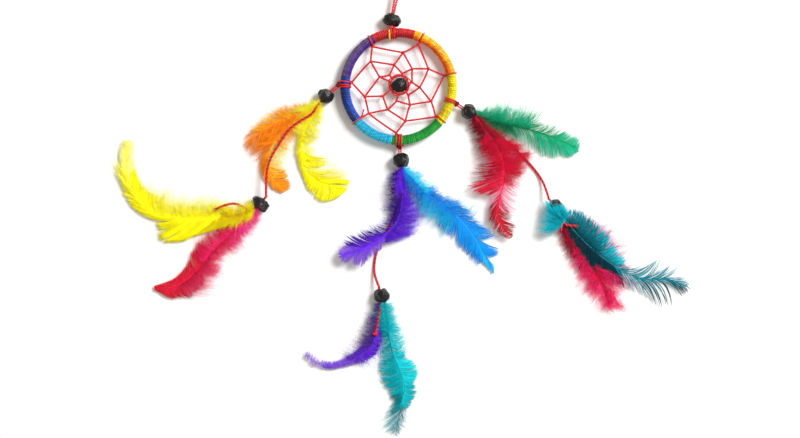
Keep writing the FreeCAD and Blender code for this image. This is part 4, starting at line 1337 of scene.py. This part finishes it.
def make_middle_upper_feathers():
    """A violet feather that sweeps to the left and an azure one to the right.

    The violet one springs up and the azure one lies low, so that they pass their neighbours as they swing."""
    make_feather(
        "middle_upper_feather_violet", "middle_upper", 106, "feather_violet",
        [(1.6, -44.0), (1.4, -51.8), (1.8, -60.6), (-0.9, -69.6), (-7.4, -77.4), (-16.6, -83.2),
         (-29.6, -87.4)],
        (5.2, 6.4, 6.6, 5.8),
        [
            Down(0.0, 0.45, [(-4.6, -44.6), (-7.4, -53.0), (-7.6, -62.0), (-6.4, -70.0)],
                 ("dark_violet", "dark_violet"), spacing=0.15, fill=1.2),
            Down(0.0, 0.3, [(4.0, -44.0), (6.0, -52.0), (8.0, -60.0)], ("violet", "violet"), spacing=0.14),
            Down(0.02, 0.22, [(-2.6, -47.0), (-1.4, -53.0), (1.0, -58.0), (4.6, -54.0)],
                 ("violet", "bright_violet"), spacing=0.22, fill=0.9, lift=4.2, tip_height=7.4),
            Down(0.25, 0.6, [(8.4, -59.0), (12.8, -66.5), (9.8, -73.6), (3.6, -78.0)],
                 ("violet", "bright_violet"), spacing=0.13, ragged=0.35),
            Fan(0.5, 0.68, [(4.0, -76.4), (0.4, -79.2), (-3.6, -80.0)], ("violet", "violet"), fuzz=0.8),
            Fan(0.42, 0.62, [(-8.0, -68.0), (-13.0, -69.4), (-18.0, -71.6)], ("dark_violet", "dark_violet"),
                spacing=0.6, fill=0.5, lock=2.2, clump=0.6, ragged=0.3, angle=30,
                tip_height=5.6),
            Vane(0.56, 0.84, [(-17.6, -72.6), (-26.0, -76.0), (-29.4, -79.6), (-27.6, -82.0)],
                 ("violet", "dark_violet"), lock=2.6, clump=0.4, ragged=0.25, angle=25, taper=0.6,
                 tip_height=5.4),
            Vane(0.8, 1.0, [(-27.6, -81.6), (-30.6, -84.0), (-31.4, -87.0)], ("violet", "lavender"), angle=25,
                 tip_height=5.4),
            Vane(0.72, 0.86, [(-18.6, -94.4), (-22.0, -93.6), (-24.4, -92.0)], ("violet", "lavender"),
                 lock=3.0, clump=0.3, ragged=0.1, angle=30, tip_height=5.4),
            Vane(0.84, 1.0, [(-26.4, -92.4), (-29.6, -91.0), (-31.6, -88.0)], ("violet", "lavender"),
                 lock=3.0, clump=0.3, ragged=0.1, angle=28, tip_height=5.4),
            Vane(0.6, 0.8, [(-6.6, -82.0), (-12.0, -88.0), (-18.6, -93.6)], ("violet", "lavender"),
                 lock=2.6, clump=0.35, ragged=0.2, angle=30, tip_height=5.4),
        ],
        "bright_violet", (-0.5, 1.0),
    )
    make_feather(
        "middle_upper_feather_azure", "middle_upper", 107, "feather_azure",
        [(3.4, -43.8), (10.8, -51.8), (20.9, -60.5), (31.4, -67.7), (39.0, -77.0), (44.0, -86.4),
         (49.2, -96.0)],
        (4.8, 4.0, 2.0, 0.9),
        [
            Down(0.0, 0.24, [(6.6, -42.0), (12.2, -44.6), (16.6, -49.6), (20.0, -54.0)], ("cyan", "cyan"),
                 spacing=0.15),
            Down(0.2, 0.45, [(19.0, -53.0), (24.6, -57.0), (31.0, -59.0), (36.0, -60.4)], ("azure", "azure"),
                 ragged=0.35, fill=0.7, spacing=0.18, lift=0.8, layers=0.4),
            Fan(0.36, 0.58, [(34.0, -59.4), (38.6, -60.6), (43.0, -63.6)], ("azure", "sky"), spacing=0.7,
                fill=0.4, loose=0.6, ragged=0.3, angle=25),
            Fan(0.4, 0.64, [(36.0, -63.0), (42.0, -68.4), (45.6, -73.4)], ("deep_blue", "azure"), fill=0.9,
                lock=2.4),
            Vane(0.56, 0.72, [(46.6, -72.6), (51.6, -76.6), (53.6, -77.8)], ("azure", "azure"), lock=4.0,
                 clump=0.5, ragged=0.15, angle=25, taper=0.6, fill=1.0),
            Vane(0.72, 0.86, [(52.8, -83.0), (52.6, -85.6), (51.4, -88.0)], ("azure", "azure"), lock=4.0,
                 clump=0.4, ragged=0.1, angle=20, taper=0.6),
            Vane(0.86, 1.0, [(49.6, -92.6), (49.8, -95.0), (49.2, -97.4)], ("azure", "sky"), angle=14),
            Vane(0.82, 1.0, [(42.4, -91.0), (46.0, -93.6), (48.8, -97.2)], ("azure", "sky"), lock=2.4,
                 clump=0.4, angle=22),
            Down(0.0, 0.3, [(2.8, -50.0), (6.0, -58.0), (10.6, -65.0)], ("azure", "azure"), spacing=0.16),
            Down(0.22, 0.5, [(9.6, -64.0), (13.0, -69.0), (18.6, -73.6), (23.0, -77.4)], ("azure", "cyan"),
                 spacing=0.15, ragged=0.4, tip_height=2.4),
            Vane(0.36, 0.72, [(20.0, -74.6), (26.7, -81.0), (33.0, -86.0), (38.0, -90.6)], ("azure", "azure"),
                 lock=2.6, clump=0.4, ragged=0.2, taper=0.6),
            Vane(0.66, 0.86, [(37.0, -90.0), (40.6, -93.6), (42.6, -92.0)], ("azure", "azure"), lock=2.6,
                 clump=0.4, ragged=0.2, angle=25, taper=0.6),
        ],
        "deep_blue", (0.5, 0.35),
    )


def make_middle_lower_feathers():
    """A narrow violet feather that curls to the left, and a turquoise one over it."""
    make_feather(
        "middle_lower_feather_violet", "middle_lower", 108, "feather_violet",
        [(-9.0, -112.4), (-10.6, -121.5), (-12.4, -130.5), (-17.4, -137.6), (-25.0, -142.0), (-35.3, -144.8),
         (-42.4, -143.2), (-47.8, -138.8)],
        (3.4, 3.0, 2.4, 2.2),
        [
            Down(0.0, 0.4, [(-13.0, -112.6), (-17.0, -119.0), (-20.6, -127.0), (-23.6, -132.0)],
                 ("dark_violet", "grey_violet"), fill=0.6, tip_height=1.6),
            Down(0.3, 0.6, [(-22.0, -130.0), (-26.6, -134.6), (-30.6, -138.4)], ("violet", "grey_violet"),
                 fill=0.35, spacing=0.5, fuzz=1.0),
            Vane(0.25, 0.62, [(-17.6, -130.0), (-21.6, -136.0), (-28.6, -140.0)], ("bright_violet", "violet"),
                 clump=0.3, ragged=0.2),
            Vane(0.58, 0.84, [(-28.0, -140.4), (-35.0, -142.2), (-39.6, -141.4)], ("violet", "lavender"),
                 angle=20, ragged=0.2),
            Fan(0.8, 1.0, [(-40.0, -140.6), (-44.6, -138.2), (-48.4, -135.4)], ("lavender", "pale_lavender"),
                angle=20, fill=0.8, loose=0.6, ragged=0.5, lock=1.5),
            Vane(0.15, 0.5, [(-6.6, -122.0), (-7.6, -131.0), (-10.6, -138.6), (-15.0, -142.0)],
                 ("bright_violet", "violet"), clump=0.3, ragged=0.2),
            Down(0.25, 0.55, [(-8.0, -139.0), (-13.0, -145.0), (-20.0, -145.6)], ("bright_violet", "violet"),
                 fill=0.35, spacing=0.45, fuzz=1.2),
            Vane(0.46, 0.84, [(-16.0, -142.6), (-24.0, -144.8), (-33.0, -146.8), (-38.0, -146.6)],
                 ("violet", "lavender"), angle=20, ragged=0.2),
            Fan(0.8, 1.0, [(-38.0, -147.2), (-43.6, -145.8), (-49.4, -140.6)],
                ("lavender", "pale_lavender"), angle=20, fill=0.8, loose=0.6, ragged=0.5, lock=1.5),
        ],
        "lavender", (0.5, -1.1),
    )
    make_feather(
        "middle_lower_feather_turquoise", "middle_lower", 109, "feather_turquoise",
        [(-7.4, -112.4), (-6.5, -119.6), (-5.1, -128.2), (-2.9, -138.3), (0.4, -147.0), (3.0, -155.6),
         (1.4, -164.3), (-1.6, -180.4)],
        (5.4, 5.6, 4.2, 1.6),
        [
            Down(0.0, 0.22, [(-3.0, -112.6), (-1.6, -118.0), (-0.6, -123.6)],
                 ("turquoise", "bright_turquoise"), spacing=0.14),
            Down(0.0, 0.22, [(-11.6, -114.0), (-12.0, -119.0), (-10.8, -125.0)],
                 ("turquoise", "bright_turquoise"), spacing=0.14),
            Fan(0.12, 0.4, [(0.6, -122.6), (4.0, -129.7), (4.6, -137.6)], ("turquoise", "bright_turquoise"),
                fill=1.2, fuzz=0.6, ragged=0.15),
            Fan(0.14, 0.42, [(-11.0, -123.6), (-9.2, -131.1), (-10.0, -139.0), (-11.0, -144.0)],
                ("turquoise", "bright_turquoise"), fill=1.2, fuzz=0.6, ragged=0.2),
            Vane(0.36, 0.5, [(3.0, -137.0), (4.4, -139.6), (6.0, -141.6)], ("turquoise", "turquoise")),
            Vane(0.42, 0.62, [(7.0, -141.2), (10.2, -144.6), (10.2, -149.6), (8.4, -153.2)],
                 ("turquoise", "bright_turquoise"), layers=0.1),
            Vane(0.58, 0.78, [(8.4, -153.4), (10.0, -158.0), (8.6, -162.6), (5.0, -167.6)],
                 ("turquoise", "turquoise"), lock=2.4, clump=0.35, ragged=0.15, angle=32),
            Fan(0.74, 1.0, [(5.4, -169.0), (4.0, -176.0), (0.0, -182.0)],
                ("deep_turquoise", "deep_turquoise"), spacing=0.7, fill=0.4, loose=0.4, ragged=0.3, angle=22),
            Vane(0.4, 0.66, [(-11.0, -142.0), (-11.2, -149.0), (-8.0, -156.6), (-4.6, -162.0)],
                 ("turquoise", "turquoise"), lock=2.6, clump=0.35, ragged=0.15),
            Vane(0.62, 0.8, [(-5.4, -161.0), (-3.6, -166.0), (-4.6, -171.0)], ("turquoise", "deep_turquoise"),
                 fill=0.9, lock=2.0, clump=0.4, ragged=0.25, angle=30),
            Fan(0.7, 0.96, [(-7.6, -168.0), (-9.6, -173.0), (-9.0, -178.0), (-4.0, -181.6)],
                ("deep_turquoise", "turquoise"), spacing=0.55, fill=0.4, loose=0.4, ragged=0.35, angle=25),
        ],
        "deep_turquoise", (0.5, 1.1),
    )


def make_right_upper_feathers():
    """A green feather and a crimson one over it.

    The crimson one's tip stays above the azure feather and below the teal cuff as they swing."""
    make_feather(
        "right_upper_feather_green", "right_upper", 110, "feather_green",
        [(40.5, -14.8), (48.1, -17.6), (58.7, -20.3), (68.2, -22.6), (76.4, -25.0), (82.3, -27.4),
         (88.2, -30.3), (92.8, -32.4)],
        (5.0, 5.6, 4.4, 1.6),
        [
            Down(0.0, 0.25, [(43.0, -11.6), (47.6, -9.4), (53.0, -6.6), (56.6, -8.4)],
                 ("green", "bright_green"), spacing=0.13, tip_height=5.0),
            Down(0.12, 0.5, [(55.0, -7.6), (61.0, -9.4), (66.0, -9.0), (71.0, -12.6)],
                 ("green", "bright_green"), spacing=0.13, tip_height=4.2, angle=25),
            Fan(0.28, 0.5, [(68.0, -9.6), (76.0, -8.8), (78.0, -12.0)], ("green", "green"), spacing=0.7,
                fill=0.5, loose=0.9, ragged=0.4, angle=20, tip_height=3.0),
            Fan(0.45, 0.8, [(74.6, -18.2), (82.0, -18.6), (86.0, -20.2), (87.6, -23.4)], ("green", "green"),
                spacing=0.62, fill=0.5, loose=0.35, lock=1.8, ragged=0.25, angle=28),
            Vane(0.72, 1.0, [(86.6, -22.6), (91.0, -24.6), (94.2, -27.2), (93.6, -30.0)],
                 ("green", "bright_green"), fill=1.0, lock=2.2, clump=0.35, ragged=0.15, angle=28),
            Down(0.05, 0.35, [(48.0, -23.0), (56.0, -26.0), (62.0, -29.0)], ("deep_green", "green"),
                 tip_height=2.4),
            Fan(0.28, 0.6, [(60.0, -28.0), (66.0, -32.6), (71.7, -35.8), (75.6, -37.4)],
                ("green", "bright_green"), spacing=0.5, fill=0.46, loose=0.35, lock=1.8, ragged=0.18,
                angle=32),
            Vane(0.52, 0.86, [(73.0, -37.0), (79.0, -38.2), (84.6, -37.4), (90.0, -37.6)],
                 ("green", "bright_green"), fill=0.86, lock=2.0, clump=0.35, ragged=0.12, angle=30),
            Vane(0.82, 1.0, [(89.6, -37.6), (91.6, -35.4), (94.2, -33.4)], ("green", "bright_green"),
                 lock=2.0, clump=0.3, angle=28),
        ],
        "deep_green", (0.5, 0.4), quill_width=0.36,
    )
    make_feather(
        "right_upper_feather_crimson", "right_upper", 111, "feather_crimson",
        [(39.6, -15.6), (44.6, -22.6), (50.5, -30.9), (54.4, -41.5), (54.4, -49.8), (51.9, -59.2),
         (51.1, -66.3), (54.2, -73.4), (58.3, -77.7)],
        (6.0, 7.4, 5.2, 4.0),
        [
            Down(0.0, 0.3, [(36.6, -17.6), (37.6, -24.0), (39.6, -30.0), (42.0, -36.0)],
                 ("deep_crimson", "deep_crimson"), spacing=0.12, fill=0.7),
            Down(0.15, 0.45, [(40.6, -33.0), (43.4, -40.6), (47.0, -44.6)], ("crimson", "crimson"),
                 spacing=0.13, fill=0.9, tip_height=6.0, lift=1.6),
            Down(0.0, 0.32, [(44.6, -14.6), (50.5, -17.9), (58.0, -25.6), (64.0, -30.0)],
                 ("deep_crimson", "crimson"), spacing=0.11, fill=0.8),
            Down(0.22, 0.48, [(62.0, -28.6), (69.4, -33.4), (68.0, -39.0), (65.6, -45.0)],
                 ("crimson", "crimson"), spacing=0.12, fill=0.8, ragged=0.25),
            Down(0.36, 0.56, [(65.6, -44.0), (64.0, -50.0), (61.0, -52.6)], ("crimson", "crimson"),
                 spacing=0.2, tip_height=4.6, lift=1.0),
            Fan(0.36, 0.46, [(39.6, -39.4), (37.4, -41.6), (36.6, -43.4)], ("crimson", "deep_crimson"),
                spacing=0.6, fill=0.75, loose=0.25, lock=2.0, clump=0.75, angle=60, tip_height=5.2, halo=0.1),
            Fan(0.42, 0.52, [(35.8, -44.6), (35.0, -46.6), (38.6, -49.6)], ("crimson", "deep_crimson"),
                spacing=0.6, fill=0.75, loose=0.25, lock=2.0, clump=0.75, angle=60, tip_height=5.2, halo=0.1),
            Vane(0.48, 0.62, [(34.8, -50.2), (35.0, -54.6), (41.6, -56.4), (46.6, -57.0)],
                 ("crimson", "crimson"), fill=0.85, lock=3.0, clump=0.35, ragged=0.15, angle=60,
                 tip_height=4.6),
            Fan(0.5, 0.72, [(64.0, -53.4), (64.6, -59.0), (63.6, -64.0), (62.0, -69.0)],
                ("pink", "pale_pink"), spacing=0.5, fill=0.5, loose=0.35, ragged=0.2, angle=30,
                tip_height=4.2),
            Fan(0.58, 0.7, [(45.0, -57.6), (46.6, -61.0), (46.0, -64.4)], ("pink", "pale_pink"), spacing=0.5,
                fill=0.5, loose=0.25, ragged=0.2, angle=30, tip_height=4.2),
            Vane(0.64, 1.0, [(45.6, -64.0), (46.6, -71.6), (50.0, -76.0), (55.6, -79.0)],
                 ("scarlet", "deep_crimson"), fill=1.0, lock=2.2, clump=0.4, ragged=0.2, angle=28, taper=0.6,
                 tip_height=4.0),
            Vane(0.66, 1.0, [(57.6, -65.0), (60.6, -70.6), (61.0, -75.0), (58.8, -78.6)],
                 ("scarlet", "deep_crimson"), fill=0.95, lock=2.2, clump=0.45, ragged=0.25, angle=26,
                 taper=0.6, tip_height=4.0),
        ],
        "scarlet", (-0.5, 1.0),
    )


def make_right_lower_feathers():
    """A teal feather with a fluffy cuff over the bead, and a pink one under it."""
    make_feather(
        "right_lower_feather_pink", "right_lower", 112, "feather_pink",
        [(84.6, -67.4), (90.0, -77.6), (98.0, -90.0), (104.4, -101.0), (109.4, -112.6)],
        (3.2, 2.8, 2.2, 1.2),
        [
            Down(0.0, 0.4, [(81.0, -71.0), (82.4, -80.0), (85.6, -88.0), (88.0, -93.0)],
                 ("deep_crimson", "crimson"), tip_height=1.6),
            Down(0.35, 0.75, [(87.0, -92.0), (91.6, -99.0), (95.6, -105.6), (100.6, -110.0)],
                 ("crimson", "hot_pink"), fuzz_length=1.8, fill=0.42),
            Fan(0.5, 0.95, [(90.0, -101.0), (94.0, -108.6), (99.6, -114.6), (106.0, -118.6)],
                ("hot_pink", "pink"), spacing=0.4, fill=0.3, fuzz=1.6, loose=1.3, ragged=0.6, angle=20,
                lock=3.0, clump=0.5),
            Fan(0.6, 1.0, [(104.0, -120.0), (110.0, -121.0), (117.0, -118.0), (122.0, -111.0)],
                ("hot_pink", "pink"), spacing=0.45, fill=0.3, fuzz=1.6, loose=1.3, ragged=0.6, angle=20,
                lock=3.0, clump=0.5),
            Down(0.05, 0.45, [(100.0, -69.6), (107.4, -73.6), (113.0, -77.6), (114.6, -84.0)],
                 ("hot_pink", "hot_pink"), ragged=0.3, tip_height=1.2, angle=60, lift=0.4),
            Fan(0.35, 0.7, [(115.6, -80.0), (120.6, -84.0), (121.6, -91.0), (119.0, -96.0)],
                ("hot_pink", "pink"), spacing=0.45, fill=0.3, fuzz=1.2, loose=0.9, ragged=0.35, angle=50),
            Down(0.55, 1.0, [(117.6, -98.0), (118.6, -106.0), (115.0, -112.6), (110.0, -118.0)],
                 ("crimson", "hot_pink"), ragged=0.6, fuzz=1.6, fill=0.35),
        ],
        "hot_pink", (-0.5, -0.8),
    )
    make_feather(
        "right_lower_feather_teal", "right_lower", 113, "feather_teal",
        [(84.6, -66.8), (92.9, -77.0), (102.4, -86.0), (111.8, -93.0), (118.9, -97.3), (129.5, -99.8),
         (138.9, -99.6), (149.0, -103.2)],
        (4.4, 4.8, 3.0, 1.6),
        [
            Down(0.0, 0.04, [(80.6, -59.0), (74.6, -59.6), (72.6, -66.0), (71.6, -74.0), (73.6, -79.0)],
                 ("teal", "bright_teal"), spacing=0.09, fill=2.8, lift=6.4, tip_height=5.4, ragged=0.45,
                 layers=1.2, loose=1.0, lock=1.4, clump=0.7, fuzz_length=0.9, halo=0.08),
            Down(0.0, 0.04, [(73.6, -79.0), (78.6, -77.0), (83.0, -73.0), (87.6, -67.0), (87.0, -60.6)],
                 ("teal", "bright_teal"), spacing=0.09, fill=2.8, lift=4.2, tip_height=5.8, ragged=0.5,
                 layers=1.2, loose=1.0, lock=1.4, clump=0.7, fuzz_length=0.9, halo=0.08),
            Down(0.0, 0.03, [(87.0, -62.0), (85.0, -60.6), (82.0, -61.0), (79.0, -60.0)],
                 ("teal", "bright_teal"), spacing=0.11, fill=2.6, lift=9.0, tip_height=7.0, ragged=0.3,
                 layers=0.8, loose=0.8, lock=1.2, clump=0.7, fuzz_length=0.9, halo=0.0),
            Vane(0.03, 0.26, [(87.6, -63.6), (93.0, -62.6), (99.6, -65.6), (105.6, -70.6)],
                 ("deep_teal", "teal"), fill=1.7, fuzz=0.5, ragged=0.2, tip_height=3.6, loose=0.4, lift=1.0),
            Down(0.1, 0.36, [(96.0, -65.6), (102.0, -69.0), (108.0, -74.0), (113.0, -80.0)],
                 ("deep_teal", "teal"), tip_height=3.6, lift=1.2, fill=0.8, spacing=0.24, fuzz=1.2, angle=30),
            Vane(0.2, 0.5, [(104.6, -70.0), (111.0, -76.6), (116.0, -84.0), (118.6, -91.0)],
                 ("deep_teal", "bright_teal"), lock=2.6, clump=0.3, ragged=0.2, taper=0.65, fill=1.6,
                 tip_height=2.6),
            Fan(0.42, 0.56, [(118.0, -89.6), (119.6, -93.0), (121.6, -95.6)], ("teal", "teal")),
            Fan(0.52, 0.72, [(129.6, -93.6), (134.4, -88.6), (139.6, -87.0)], ("teal", "teal"),
                spacing=1.1, fill=0.38, loose=0.35, lock=3.0, clump=0.6, ragged=0.15, angle=16, halo=0.0),
            Fan(0.7, 0.84, [(138.6, -92.0), (143.0, -91.6), (147.6, -93.6)], ("teal", "teal"),
                spacing=1.1, fill=0.34, loose=0.35, lock=3.0, clump=0.5, ragged=0.2, angle=18, halo=0.0),
            Fan(0.84, 1.0, [(149.0, -97.0), (151.0, -99.6), (152.0, -103.6)], ("teal", "teal"),
                spacing=0.9, fill=0.4, loose=0.35, lock=3.0, clump=0.5, ragged=0.2, angle=16, halo=0.0),
            Vane(0.03, 0.34, [(84.6, -76.0), (87.4, -86.0), (94.6, -97.0), (101.0, -100.6)],
                 ("deep_teal", "deep_teal"), fill=1.6, fuzz=0.6, ragged=0.25, loose=0.5, tip_height=2.2),
            Vane(0.28, 0.55, [(99.0, -99.6), (105.6, -103.0), (112.6, -105.0), (117.6, -105.2)],
                 ("deep_teal", "deep_teal"), fill=1.5, lock=2.2, clump=0.4, ragged=0.25, taper=0.6),
            Fan(0.48, 0.68, [(117.0, -104.0), (124.0, -109.0), (131.0, -113.0)], ("teal", "teal"),
                spacing=0.9, fill=0.36, loose=0.35, lock=2.6, clump=0.4, ragged=0.15, angle=24, halo=0.0),
            Fan(0.64, 0.8, [(132.0, -113.0), (138.0, -116.6), (145.0, -117.0)], ("teal", "deep_teal"),
                spacing=1.1, fill=0.45, loose=0.35, lock=3.0, clump=0.5, ragged=0.15, angle=20, halo=0.0),
            Fan(0.8, 1.0, [(148.0, -112.6), (150.6, -109.0), (152.0, -105.0)], ("teal", "deep_teal"),
                spacing=0.8, fill=0.5, loose=0.3, lock=3.0, clump=0.5, ragged=0.15, angle=14, halo=0.0),
        ],
        "teal", (0.5, -0.2), quill_width=0.28,
    )


make_left_upper_feathers()
make_left_lower_feathers()
make_middle_upper_feathers()
make_middle_lower_feathers()
make_right_upper_feathers()
make_right_lower_feathers()


# ---------------------------------------------------------------------------------------------------------
# Floor and light
# ---------------------------------------------------------------------------------------------------------


def make_floor():
    """A broad level floor under the object."""
    mesh = bpy.data.meshes.new("floor")
    half = 4.0
    corners = [(-half, -half, 0), (half, -half, 0), (half, half, 0), (-half, half, 0)]
    mesh.from_pydata(corners, [], [(0, 1, 2, 3)])
    mesh.materials.append(floor_material())
    floor = bpy.data.objects.new("floor", mesh)
    bpy.context.scene.collection.objects.link(floor)


def make_light(name, place, aim, size, power, colour):
    """A square soft light that looks at a point."""
    data = bpy.data.lights.new(name, "AREA")
    data.size = size
    data.energy = power
    data.color = colour
    light = bpy.data.objects.new(name, data)
    light.location = place
    light.rotation_euler = (Vector(aim) - Vector(place)).to_track_quat("-Z", "Y").to_euler()
    bpy.context.scene.collection.objects.link(light)


def make_studio():
    """White surroundings and one large soft light from the upper right."""
    world = bpy.data.worlds.new("studio")
    bpy.context.scene.world = world
    world.use_nodes = True
    background = world.node_tree.nodes["Background"]
    background.inputs["Color"].default_value = (1.0, 0.95, 0.9, 1.0)
    background.inputs["Strength"].default_value = 0.54
    make_light("key", (0.8, 0.62, 1.0), (0.0, 0.0, 0.0), 0.55, 26.0, (0.96, 0.99, 1.0))
    bpy.context.scene.view_settings.view_transform = "Standard"


make_floor()
make_studio()
